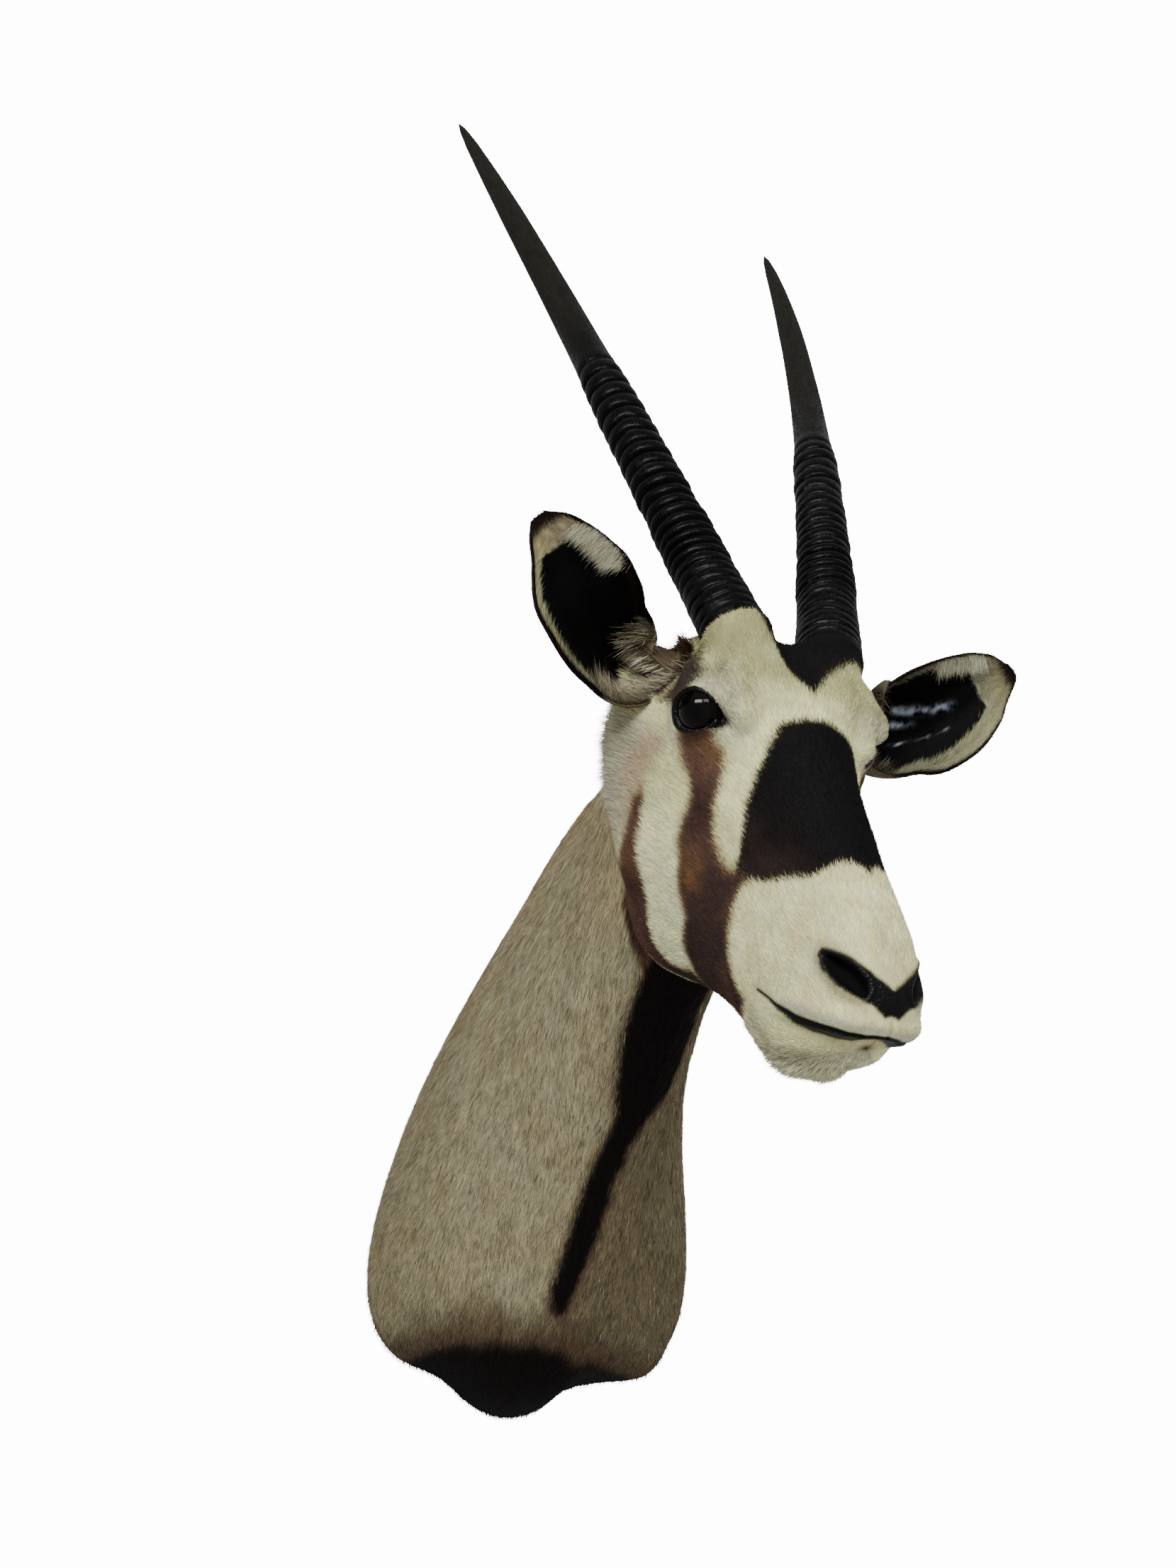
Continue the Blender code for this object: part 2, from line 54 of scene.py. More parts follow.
HEIGHTS = (0.05, 0.2, 0.4, 0.6, 0.78, 0.91, 0.97)
# Neck, from the wall to the skull: top (y, z), bottom (y, z), middle x, turn, half widths at HEIGHTS.
NECK_SECTIONS = (
    ((0.0, 0.3), (0.0, -0.318), -0.004, 0, (0.032, 0.079, 0.134, 0.17, 0.184, 0.15, 0.022)),
    ((-0.06, 0.315), (-0.1, -0.276), -0.006, 0, (0.03, 0.069, 0.117, 0.147, 0.154, 0.119, 0.043)),
    ((-0.13, 0.33), (-0.18, -0.175), -0.007, 0, (0.03, 0.062, 0.1, 0.119, 0.113, 0.079, 0.047)),
    ((-0.2, 0.342), (-0.252, -0.065), -0.002, 2, (0.028, 0.051, 0.079, 0.096, 0.089, 0.062, 0.038)),
    ((-0.27, 0.354), (-0.325, 0.026), 0.006, 5, (0.027, 0.048, 0.068, 0.083, 0.076, 0.053, 0.033)),
    ((-0.34, 0.368), (-0.382, 0.09), 0.016, 8, (0.029, 0.052, 0.068, 0.077, 0.068, 0.048, 0.029)),
    ((-0.41, 0.39), (-0.424, 0.126), 0.027, 10, (0.037, 0.067, 0.079, 0.079, 0.065, 0.047, 0.029)),
    ((-0.48, 0.412), (-0.45, 0.146), 0.035, 11, (0.05, 0.098, 0.112, 0.086, 0.065, 0.047, 0.029)),
)
# Head, from the poll to the lips, in its own frame: top (y, z), bottom (y, z), half widths.
HEAD_SECTIONS = (
    ((-0.036, -0.075), (-0.25, 0.09), (0.054, 0.1, 0.116, 0.091, 0.064, 0.049, 0.032)),
    ((-0.011, -0.03), (-0.252, 0.1), (0.053, 0.082, 0.092, 0.084, 0.063, 0.05, 0.034)),
    ((-0.001, 0.012), (-0.251, 0.112), (0.047, 0.079, 0.084, 0.078, 0.063, 0.05, 0.034)),
    ((0.0, 0.05), (-0.245, 0.126), (0.038, 0.072, 0.076, 0.071, 0.06, 0.048, 0.033)),
    ((-0.004, 0.09), (-0.232, 0.143), (0.029, 0.051, 0.06, 0.062, 0.056, 0.045, 0.031)),
    ((-0.008, 0.13), (-0.213, 0.163), (0.026, 0.043, 0.052, 0.057, 0.052, 0.041, 0.028)),
    ((-0.012, 0.17), (-0.194, 0.186), (0.025, 0.039, 0.047, 0.052, 0.047, 0.036, 0.025)),
    ((-0.015, 0.21), (-0.176, 0.215), (0.024, 0.037, 0.043, 0.048, 0.044, 0.033, 0.022)),
    ((-0.016, 0.248), (-0.159, 0.245), (0.025, 0.038, 0.044, 0.047, 0.042, 0.032, 0.022)),
    ((-0.02, 0.28), (-0.154, 0.274), (0.025, 0.038, 0.043, 0.045, 0.041, 0.031, 0.022)),
    ((-0.028, 0.304), (-0.144, 0.298), (0.022, 0.035, 0.04, 0.04, 0.035, 0.025, 0.018)),
    ((-0.041, 0.322), (-0.106, 0.314), (0.013, 0.024, 0.029, 0.028, 0.023, 0.015, 0.009)),
    ((-0.06, 0.33), (-0.076, 0.327), (0.003, 0.006, 0.008, 0.008, 0.006, 0.004, 0.002)),
)
HORN_BASE = np.array([0.0457, -0.0147, -0.0321])
HORN_LENGTH = 0.964
HORN_SPREAD = {1: radians(11.4), -1: radians(9.4)}
HORN_BOW, HORN_LEAN, HORN_BEND = radians(5.6), radians(-4.3), radians(7.0)
HORN_ROOT = 0.022
HORN_SHAPE = ((0.0, 0.0262), (0.14, 0.0215), (0.3, 0.0195), (0.42, 0.0172), (0.55, 0.0152), (0.7, 0.0133),
              (0.82, 0.0103), (0.92, 0.0073), (0.975, 0.0042), (1.0, 0.001))
WRINKLED_LENGTH, WRINKLES = 0.07, 7
RINGS, RING_PITCH_RATIO = 19, 2.3
EAR_FACING = np.array([-0.13, 0.62, 0.77])

# ---------------------------------------------------------------- finer shape, for this dressing alone
RINGED_LENGTH = 0.368  # 3 mm more than the part's
# Ears, root to tip, in the head's frame and both as if on the left: middle, radius of the cup, and half its
# turn in degrees.
EAR_ROWS = {
    1: (((0.056, -0.078, -0.052), 0.02, 165), ((0.085, -0.081, -0.05), 0.025, 140),
        ((0.1214, -0.0828, -0.0454), 0.0382, 116), ((0.1585, -0.0616, -0.0443), 0.04, 90),
        ((0.1697, -0.0456, -0.042), 0.0473, 75), ((0.1943, -0.0173, -0.0459), 0.0442, 60),
        ((0.2093, -0.0013, -0.049), 0.0395, 40), ((0.2201, 0.01, -0.0503), 0.0249, 27),
        ((0.2216, 0.0135, -0.0498), 0.0112, 30)),
    -1: (((0.056, -0.078, -0.052), 0.02, 165), ((0.085, -0.081, -0.05), 0.0265, 130),
         ((0.1096, -0.0842, -0.0441), 0.0324, 100), ((0.144, -0.0635, -0.0363), 0.0373, 81),
         ((0.1739, -0.0328, -0.0314), 0.0461, 70), ((0.1895, -0.0158, -0.0355), 0.05, 58),
         ((0.2075, 0.0047, -0.0391), 0.0343, 52), ((0.2168, 0.0132, -0.041), 0.0251, 41),
         ((0.2225, 0.0175, -0.0432), 0.014, 30)),
}
# The hide's lower edge at the wall, x and z: shoulders with a rounded tongue between them.
LOWER_EDGE = ((-0.156, -0.239), (-0.148, -0.247), (-0.139, -0.254), (-0.123, -0.261), (-0.108, -0.265),
              (-0.091, -0.272), (-0.075, -0.283), (-0.064, -0.292), (-0.048, -0.301), (-0.036, -0.305),
              (-0.023, -0.307), (-0.009, -0.307), (0.007, -0.303), (0.02, -0.297), (0.031, -0.287),
              (0.042, -0.279), (0.059, -0.273), (0.074, -0.27), (0.094, -0.267), (0.114, -0.265),
              (0.127, -0.262), (0.136, -0.258), (0.145, -0.25), (0.153, -0.238), (0.16, -0.222))
EYE_RADIUS = 0.019
EYE_CENTRE = {1: np.array([0.0618, -0.046, 0.045]), -1: np.array([-0.0718, -0.0454, 0.047])}
EYE_AXIS = np.array([0.8, 0.24, 0.55])
EYE_FORWARD = np.array([-0.45, 0.27, 0.85])  # from the eye to its tear corner
# The lids' opening: turn from the tear corner towards the brow, and half angle, in degrees.
EYE_OPENING = {
    -1: ((-151, 60), (-122, 62), (-86, 50), (-59, 47), (-45, 47), (-12, 55), (9, 60), (30, 53), (65, 48),
         (100, 45), (142, 49), (178, 60)),
    1: ((-151, 54), (-122, 54), (-86, 46), (-59, 44), (-45, 43), (-12, 46), (9, 48), (30, 44), (65, 40),
        (100, 40), (142, 45), (178, 54)),
}
LID_WIDTH = 0.0125
# How far the black skin reaches from the opening, by the same turn, and how much of that on each side.
LID_BLACK = ((-151, 0.005), (-122, 0.004), (-99, 0.003), (-59, 0.002), (-26, 0.0022), (-12, 0.008),
             (0, 0.013), (9, 0.013), (22, 0.0085), (30, 0.006), (45, 0.0032), (70, 0.0022), (94, 0.0028),
             (118, 0.0032), (153, 0.005), (178, 0.0055))
LID_BLACK_SHARE = {1: 0.6, -1: 1}
TEAR_LINE = ((0.067, -0.035, 0.059), (0.0615, -0.0368, 0.0655), (0.0548, -0.038, 0.0718))
TEAR_SHIFT = {1: EYE_CENTRE[1] - EYE_CENTRE[-1] * np.array([-1, 1, 1]), -1: np.zeros(3)}
TEAR_RADII = (0.0024, 0.002, 0.001)
SKIN_OVER_EYE = 0.0022
LIP_TUCK, LIP_DROP = 0.0095, 0.008  # how far the lower lip stands back from the upper one, and below it
LIP_NARROWING = 0.12  # how much narrower the lower lip and the chin are than the plain form
NOSE_MIDDLE = -0.15  # of u: the muzzle's middle lies a little to the animal's right
HALF_TURN, WHOLE_TURN = 8.0, 16.0  # of u


# ---------------------------------------------------------------- small sums on arrays
def lengths(vectors):
    return np.linalg.norm(vectors, axis=-1)


def unit(vectors):
    return vectors / (lengths(vectors)[..., None] + 1e-12)


def ease(low, high, value):
    share = np.clip((value - low) / (high - low), 0, 1)
    return share * share * (3 - 2 * share)


def fade(low, high, value):
    return 1 - ease(low, high, value)


def bell(*measures):
    """1 where every value is at its middle, less away from it. Measures: value, middle, width, and so on."""
    triples = zip(*[iter(measures)] * 3)
    return np.exp(-sum(((value - middle) / width) ** 2 for value, middle, width in triples))


def mix(first, second, share):
    share = np.asarray(share)[..., None]
    return first * (1 - share) + second * share


def layered(base, *coats):
    """Lays these coats, each a colour and a share, over the base, one after the other."""
    for colour, share in coats:
        base = mix(base, colour, share)
    return base


def between_corners(grid, i, j, k, p, q):
    """A grid's values inside its cells (i, j), with k the next column, at shares p down and q across."""
    shares = ((1 - p) * (1 - q), p * (1 - q), p * q, (1 - p) * q)
    corners = (grid[i, j], grid[i + 1, j], grid[i + 1, k], grid[i, k])
    return sum((w[:, None] if grid.ndim == 3 else w) * g for w, g in zip(shares, corners))


def picked_cells(chance, weights, count):
    """Places in a flattened grid, picked as often as these weights say."""
    weights = weights.ravel()
    return np.searchsorted(np.cumsum(weights) / weights.sum(), chance.random(count))


def stacked(parts):
    """The same columns of several lots, joined."""
    return [np.concatenate(column) for column in zip(*parts)]


def joined(a, b, softness):
    """The lower of two distances, with a fillet of this softness where they meet."""
    share = np.clip(0.5 + 0.5 * (b - a) / softness, 0, 1)
    return b + (a - b) * share - softness * share * (1 - share)


def carved(a, b, softness):
    return -joined(-a, b, softness)


def speckle(points, size, seed, stretch=(1, 1, 1)):
    """Smooth random values from -1 to 1 whose patches have about this size, once the points are stretched."""
    spot = np.asarray(points) * np.array(stretch) / size
    cell = np.floor(spot).astype(np.int64)
    part = spot - cell
    part = part * part * (3 - 2 * part)
    total = np.zeros(spot.shape[:-1])
    for corner in np.ndindex(2, 2, 2):
        x, y, z = (cell[..., k] + corner[k] for k in range(3))
        mixed = (x * 374761393 + y * 668265263 + z * 1440662683 + seed * 974634777) & 0xFFFFFFFF
        mixed = ((mixed ^ (mixed >> 13)) * 1274126177) & 0xFFFFFFFF
        weight = np.ones(spot.shape[:-1])
        for k in range(3):
            weight = weight * (part[..., k] if corner[k] else 1 - part[..., k])
        total += weight * (((mixed ^ (mixed >> 16)) & 0xFFFFFF) / 0xFFFFFF)
    return total * 2 - 1


def mirrored(points, side):
    return np.asarray(points) * np.array([side, 1, 1])


# ---------------------------------------------------------------- the head's frame and the plain form
def head_axes():
    """Rows: the animal's left, out of the face, and towards the nose."""
    nose = np.array([sin(HEAD_TURN) * cos(HEAD_DIP), -cos(HEAD_TURN) * cos(HEAD_DIP), -sin(HEAD_DIP)])
    level = np.array([cos(HEAD_TURN), sin(HEAD_TURN), 0])
    left = level * cos(HEAD_TILT) + np.cross(nose, level) * sin(HEAD_TILT)
    return np.stack([left, np.cross(nose, left), nose])


HEAD_AXES = head_axes()


def from_head(points):
    return np.asarray(points) @ HEAD_AXES + HEAD_ORIGIN


def to_head(points):
    return (np.asarray(points) - HEAD_ORIGIN) @ HEAD_AXES.T


def section_ring(top, bottom, sideways, widths):
    left = [top + (bottom - top) * h + sideways * w for h, w in zip(HEIGHTS, widths)]
    right = [top + (bottom - top) * h - sideways * w for h, w in zip(HEIGHTS, widths)]
    return [top, *left, bottom, *reversed(right)]


def hide_cage():
    rings = []
    for (top_y, top_z), (low_y, low_z), x, turn, widths in NECK_SECTIONS:
        sideways = np.array([cos(radians(turn)), sin(radians(turn)), 0])
        rings.append(section_ring(np.array([x, top_y, top_z]), np.array([x, low_y, low_z]), sideways, widths))
    for (top_y, top_z), (low_y, low_z), widths in HEAD_SECTIONS:
        top, bottom = from_head([0, top_y, top_z]), from_head([0, low_y, low_z])
        rings.append(section_ring(top, bottom, HEAD_AXES[0], widths))
    return np.array(rings)


CAGE = hide_cage()


def plain_form(vs, us):
    """The smooth form over the cage, at every pair of these v and u."""
    def weights(t):
        parts = (1 - t) ** 3, 3 * t ** 3 - 6 * t ** 2 + 4, -3 * t ** 3 + 3 * t ** 2 + 3 * t + 1, t ** 3
        return np.stack(parts, -1) / 6

    count, around = CAGE.shape[:2]
    rings = np.concatenate([2 * CAGE[:1] - CAGE[1:2], CAGE, 2 * CAGE[-1:] - CAGE[-2:-1]])
    vi, ui = np.clip(np.floor(vs).astype(int), 0, count - 2), np.floor(us).astype(int)
    wv, wu = weights(vs - vi), weights(us - ui)
    form = np.zeros((len(vs), len(us), 3))
    for i in range(4):
        for j in range(4):
            form += wv[:, i, None, None] * wu[None, :, j, None] * rings[vi + i][:, (ui + j - 1) % around]
    return form


def grid_quads(rows, columns):
    """The faces of a grid that is closed across, and the numbers of each point and of the one beside it."""
    index = np.arange(rows * columns).reshape(rows, columns)
    beside = np.roll(index, -1, 1)
    return np.stack([index[:-1], index[1:], beside[1:], beside[:-1]], -1).reshape(-1, 4), index, beside


def point_tree(points):
    """A search tree over a grid of points."""
    tree = KDTree(points[..., 0].size)
    for number, place in enumerate(points.reshape(-1, 3)):
        tree.insert(Vector(place), number)
    tree.balance()
    return tree


def grid_normals(points):
    """Outward, for a grid that is closed across."""
    along = np.gradient(points, axis=0)
    across = np.roll(points, -1, 1) - np.roll(points, 1, 1)
    normals = unit(np.cross(along, across))
    outward = ((points - points.mean(1, keepdims=True)) * normals).sum(-1).mean()
    return normals if outward > 0 else -normals


# ---------------------------------------------------------------- forms that swell or dent the hide
def tube(points, line, radii):
    """Distance to a bent rod through these points, with these radii."""
    best = None
    for a, b, ra, rb in zip(line, line[1:], radii, radii[1:]):
        a, b = np.array(a), np.array(b)
        share = np.clip((points - a) @ (b - a) / ((b - a) @ (b - a)), 0, 1)
        found = lengths(points - a - share[..., None] * (b - a)) - (ra + (rb - ra) * share)
        best = found if best is None else np.minimum(best, found)
    return best


def horn_path(distances, side):
    """Points on the horn's middle line, in the head's frame."""
    steps = np.linspace(0, HORN_LENGTH, 181)
    lean = HORN_LEAN + HORN_BEND * steps / HORN_LENGTH
    spread = HORN_SPREAD[side] + HORN_BOW * (0.5 - steps / HORN_LENGTH)
    back = -np.cos(spread)
    heading = np.stack([side * np.sin(spread), back * np.sin(lean), back * np.cos(lean)], 1)
    path = np.concatenate([np.zeros((1, 3)),
                           np.cumsum((heading[1:] + heading[:-1]) / 2 * np.diff(steps)[:, None], axis=0)])
    base = mirrored(HORN_BASE, side)
    root = heading[0] * np.minimum(distances, 0)[:, None]
    reach = np.maximum(distances, 0)
    return base + root + np.stack([np.interp(reach, steps, path[:, k]) for k in range(3)], 1)


def collar(points, side):
    """The hide's swelling up to the horn's foot: a cone with a soft top edge."""
    low, high = horn_path(np.array([-0.095, -0.01]), side)
    length = np.linalg.norm(high - low)
    axis = (high - low) / length
    reach = (points - low) @ axis
    aside = lengths(points - low - reach[..., None] * axis)
    radius = 0.012 + (0.0296 - 0.012) * np.clip(reach / length, 0, 1)
    return carved(carved(aside - radius, length - reach, 0.006), reach, 0.006)


SWELLS = (  # line, radii, softness: on both sides of the head
    (((0.047, -0.088, -0.044), (0.084, -0.09, -0.038)), (0.018, 0.0165), 0.014),  # ear root
    (((0.042, -0.02, 0.008), (0.056, -0.017, 0.036), (0.052, -0.026, 0.072)),
     (0.009, 0.0105, 0.007), 0.014),  # brow
    (((0.058, -0.086, 0.04), (0.049, -0.076, 0.11), (0.04, -0.072, 0.15)),
     (0.011, 0.009, 0.005), 0.016),  # cheekbone
    (((0.071, -0.04, 0.01), (0.0745, -0.056, 0.03), (0.073, -0.071, 0.047), (0.067, -0.086, 0.066)),
     (0.0115, 0.014, 0.013, 0.0105), 0.012),  # the socket's rear edge
    (((0.05, -0.15, 0.02), (0.052, -0.17, 0.07)), (0.024, 0.022), 0.03),  # jaw muscle
)
LEFT_BROW = (((0.06, -0.016, 0.018), (0.0735, -0.026, 0.033), (0.073, -0.034, 0.047)),
             (0.01, 0.012, 0.012), 0.014)
# Carved between the ear's root and the horn's foot.
SADDLE = (((0.082, -0.062, -0.066), (0.078, -0.054, -0.048), (0.081, -0.048, -0.026)), (0.018, 0.015, 0.01))


def hide_distance(points, plain):
    """Distance outside the dressed hide, given the distance outside the plain form."""
    found = plain
    for side in (1, -1):
        here = mirrored(points, side)
        for line, radii, softness in SWELLS:
            found = joined(found, tube(here, line, radii), softness)
        eye = lengths(points - EYE_CENTRE[side]) - EYE_RADIUS - SKIN_OVER_EYE
        found = joined(found, eye, 0.012)
        found = joined(found, collar(points, side), 0.014)
    line, radii, softness = LEFT_BROW
    found = joined(found, tube(points, line, radii), softness)
    for side in (1, -1):
        here = mirrored(points, side)
        found = carved(found, tube(here, *SADDLE), 0.01)
        found = carved(found, tube(here - TEAR_SHIFT[side], TEAR_LINE, TEAR_RADII), 0.004)
    return found


# ---------------------------------------------------------------- the hide's grid
ROWS = np.concatenate([np.linspace(0, 7, 63, endpoint=False), np.linspace(7, 9, 20, endpoint=False),
                       np.linspace(9, 16, 84, endpoint=False), np.linspace(16, 20, 89)])
COLUMNS = np.arange(256) * WHOLE_TURN / 256


# ---------------------------------------------------------------- places on the hide
PLAIN = plain_form(ROWS, COLUMNS)
ROW_REACH = np.concatenate([[0], np.cumsum(lengths(np.diff(PLAIN, axis=0)).mean(1))])
ROW_GIRTH = lengths(np.roll(PLAIN, -1, 1) - PLAIN).sum(1) / WHOLE_TURN
FROM_TOP = np.where(COLUMNS > HALF_TURN, COLUMNS - WHOLE_TURN, COLUMNS)  # positive on the animal's left
FROM_THROAT = COLUMNS - HALF_TURN
EITHER_SIDE = np.abs(FROM_TOP)
FROM_NOSE_MIDDLE = np.abs(FROM_TOP - NOSE_MIDDLE)
LOWER_LIP = ((16.05, 4.45), (16.23, 4.36), (17.05, 3.92), (17.75, 3.52), (18.55, 3.12), (19.2, 2.72),
             (19.55, 2.0), (19.68, 0.72), (19.7, -0.6), (23, -0.6), (23, 9.5), (16.05, 9.5))
NOSTRIL_PIT = ((16.84, 1.8), (16.98, 1.56), (17.25, 1.26), (17.6, 0.98), (17.95, 0.8), (18.2, 0.82),
               (18.38, 1.02), (18.22, 1.3), (17.88, 1.56), (17.38, 1.8), (16.95, 1.87))


def region(outline, across):
    """How far inside an outline of (v, across) each grid point is, in metres along the hide."""
    v, a = np.array(outline).T
    corners = np.stack([np.interp(v, ROWS, ROW_REACH) + 0.02 * (v - np.clip(v, 0, 20)),
                        a * np.interp(v, ROWS, ROW_GIRTH)], 1)
    x = np.broadcast_to(ROW_REACH[:, None], (len(ROWS), len(COLUMNS)))
    y = ROW_GIRTH[:, None] * across[None, :]
    nearest, inside = np.full(x.shape, 1e9), np.zeros(x.shape, bool)
    for (x0, y0), (x1, y1) in zip(corners, np.roll(corners, -1, 0)):
        dx, dy = x1 - x0, y1 - y0
        share = np.clip(((x - x0) * dx + (y - y0) * dy) / (dx * dx + dy * dy + 1e-15), 0, 1)
        nearest = np.minimum(nearest, np.hypot(x - x0 - share * dx, y - y0 - share * dy))
        crosses = (y0 > y) != (y1 > y)
        inside ^= crosses & (x < x0 + (y - y0) * dx / (dy if dy else 1e-15))
    return np.where(inside, nearest, -nearest)


def mouth_and_nose(lip, pit, v):
    """How far the lips, the chin, the jaw and the nostrils stand out of the hide, or go into it."""
    return (
        -0.002 * bell(lip, 0, 0.0013) * ease(16.05, 16.7, v)  # the crease of the mouth
        + 0.003 * bell(lip, -0.0075, 0.005) * ease(16.6, 17.8, v) * (1 - 0.6 * ease(19, 19.6, v))  # upper lip
        + 0.0012 * bell(lip, 0.003, 0.0018) * ease(16.8, 17.6, v)  # lower lip
        + 0.0048 * bell(lip, 0.019, 0.013) * ease(16.9, 19.1, v) * fade(19.7, 20, v)  # chin
        - 0.006 * ease(6, 8, EITHER_SIDE) * bell(v, 16.9, 0.9)  # hollow between the jaws
        - 0.0095 * ease(-0.0004, 0.0036, pit)  # nostril
        + 0.0013 * bell(pit, -0.0022, 0.0018)  # its rim
        - 0.0012 * bell(EITHER_SIDE * 0.008, 0, 0.0016) * ease(18.7, 19.1, v))  # philtrum


def shape_hem(points):
    """Moves the hide's lower edge at the wall onto its outline, and keeps the hide in front of the wall."""
    edge_x, edge_z = np.array(LOWER_EDGE).T
    rim = points[0]
    shift = np.where(rim[:, 2] < -0.21, np.interp(rim[:, 0], edge_x, edge_z) - rim[:, 2], 0)
    shift = shift * fade(0.152, 0.165, rim[:, 0]) * fade(0.138, 0.154, -rim[:, 0])
    points[..., 2] += shift[None, :] * fade(0, 2.2, ROWS)[:, None]
    points[..., 1] = np.minimum(points[..., 1], 0)


def dressed_hide():
    """The grid of the dressed hide."""
    normals = grid_normals(PLAIN)
    start, outward = to_head(PLAIN), normals @ HEAD_AXES.T
    rise = np.zeros(PLAIN.shape[:2])
    for _ in range(26):
        step = hide_distance(start + rise[..., None] * outward, rise)
        rise = np.clip(rise - np.clip(step, -0.006, 0.006), -0.014, 0.05)
    rise *= ease(7, 7.6, ROWS)[:, None]
    points = PLAIN + rise[..., None] * normals
    folds = speckle(points, 0.055, 3, (1, 1, 0.6)) * 0.001 + speckle(points, 0.021, 4) * 0.0004
    points += normals * (folds * ease(0.3, 2, ROWS)[:, None] * fade(13, 16, ROWS)[:, None])[..., None]
    lip, pit, v = region(LOWER_LIP, EITHER_SIDE), region(NOSTRIL_PIT, FROM_NOSE_MIDDLE), ROWS[:, None]
    points = points + mouth_and_nose(lip, pit, v)[..., None] * normals
    tuck = (ease(0.0004, 0.0035, lip) * ease(16.9, 19.6, v))[..., None]
    aside = ((points - HEAD_ORIGIN) @ HEAD_AXES[0])[..., None]
    drop = LIP_DROP * fade(0.006, 0.03, lip)[..., None]
    points -= tuck * (LIP_TUCK * HEAD_AXES[2] + drop * HEAD_AXES[1] + LIP_NARROWING * aside * HEAD_AXES[0])
    shape_hem(points)
    return points


# ---------------------------------------------------------------- markings
NOSE_PATCH = ((11.72, -1.0), (11.7, 0.0), (11.72, 0.97), (12.1, 1.45), (12.47, 1.86), (12.71, 2.17),
              (13.17, 2.47), (13.48, 2.8), (13.6, 3.07), (14.14, 2.92), (14.58, 2.48), (14.8, 2.12),
              (15.12, 1.62), (15.08, 1.0), (15.1, 0.38), (15.3, 0.0), (15.1, -0.6))
HORN_NOTCH = ((6.8, -1.1), (8.3, -1.15), (9.2, -0.62), (10.1, -0.42), (10.6, -0.24), (10.95, 0.06),
              (10.6, 0.26), (10.2, 0.45), (9.75, 0.8), (9.5, 1.15), (8.3, 1.3), (6.8, 1.1))
EYE_STRIPE = ((10.3, 2.2), (10.61, 2.49), (10.85, 2.6), (11.24, 2.69), (11.39, 2.78), (11.55, 3.18),
              (11.61, 3.57), (11.89, 3.75), (12.2, 4.07), (12.54, 4.38), (13.09, 4.66), (13.27, 5.31),
              (13.55, 5.77), (14.2, 7.0), (14.5, 8.6), (15.8, 8.6), (16.2, 6.2), (16.12, 5.11),
              (15.79, 5.08), (15.37, 4.83), (15.0, 4.49), (14.67, 4.09), (14.34, 3.62), (14.13, 3.21),
              (14.14, 2.88), (13.75, 2.9), (13.5, 3.13), (13.02, 3.14), (12.65, 3.06), (12.39, 2.88),
              (12.15, 2.54), (11.95, 2.33), (11.82, 2.18), (11.52, 1.98), (11.2, 2.02), (10.9, 1.9),
              (10.6, 1.8))
JAW_STRIPE = ((9.8, 3.42), (10.0, 3.54), (10.12, 3.83), (10.28, 4.1), (10.56, 4.36), (10.93, 4.68),
              (11.25, 5.08), (11.45, 5.47), (11.81, 5.87), (12.28, 6.2), (12.62, 6.4), (13.16, 6.42),
              (13.6, 6.15), (14.4, 7.0), (14.6, 8.6), (5.75, 8.6), (5.6, 7.1), (6.01, 6.69), (6.1, 6.01),
              (6.19, 5.43), (6.4, 4.95), (7.4, 4.9), (8.6, 4.85), (9.35, 4.8), (9.52, 4.16), (9.56, 3.65))
BROW_BAND = ((9.05, 1.38), (9.4, 1.46), (9.74, 1.58), (9.98, 1.75), (10.2, 1.88), (10.2, 2.05),
             (9.94, 2.14), (9.17, 2.24), (8.8, 2.24), (8.38, 2.12), (8.4, 1.87), (8.7, 1.7), (8.88, 1.5))
NOSE_LEATHER = ((16.82, 1.94), (16.72, 1.78), (16.9, 1.52), (17.22, 1.12), (17.6, 0.76), (17.92, 0.42),
                (18.2, 0.04), (18.2, -0.3), (18.92, -0.3), (18.96, 0.08), (19.02, 0.38), (18.62, 0.8),
                (18.3, 1.28), (17.76, 1.72), (17.2, 1.95))
THROAT = ((7.2, 1.7), (6.4, 1.35), (5.75, 1.17), (4.88, 0.84), (4.43, 0.54), (4.11, 0.25), (3.92, 0.02),
          (3.72, 0.03), (3.49, 0.13), (3.27, 0.16), (2.92, 0.19), (2.59, 0.19), (2.25, 0.23), (1.98, 0.19),
          (1.92, -0.07), (2.03, -0.25), (2.32, -0.4), (2.65, -0.53), (2.91, -0.56), (3.18, -0.59),
          (3.42, -0.7), (3.64, -0.8), (3.76, -1.19), (3.84, -1.7), (4.15, -2.0), (4.6, -2.1), (5.1, -1.8),
          (5.68, -1.6), (7.2, -1.7))
CHEST = ((-0.4, 2.2), (0.0, 2.0), (0.69, 1.91), (1.18, 1.6), (1.53, 1.12), (1.68, 0.26), (1.59, -0.42),
         (1.0, -1.34), (0.15, -1.95), (-0.4, -2.1))
MANE = ((-0.4, -0.2), (3.0, -0.16), (6.8, -0.35), (8.4, -0.9), (8.4, 0.9), (6.8, 0.35), (3.0, 0.16),
        (-0.4, 0.2))
MARKINGS = {  # outline, and what it is measured across
    "patch": (NOSE_PATCH, EITHER_SIDE), "notch": (HORN_NOTCH, FROM_TOP),
    "stripe": (EYE_STRIPE, EITHER_SIDE), "jaw": (JAW_STRIPE, EITHER_SIDE),
    "brow": (BROW_BAND, EITHER_SIDE), "nose": (NOSE_LEATHER, FROM_NOSE_MIDDLE),
    "throat": (THROAT, FROM_THROAT), "chest": (CHEST, FROM_THROAT), "mane": (MANE, FROM_TOP),
    "lip": (LOWER_LIP, EITHER_SIDE), "pit": (NOSTRIL_PIT, FROM_NOSE_MIDDLE),
}
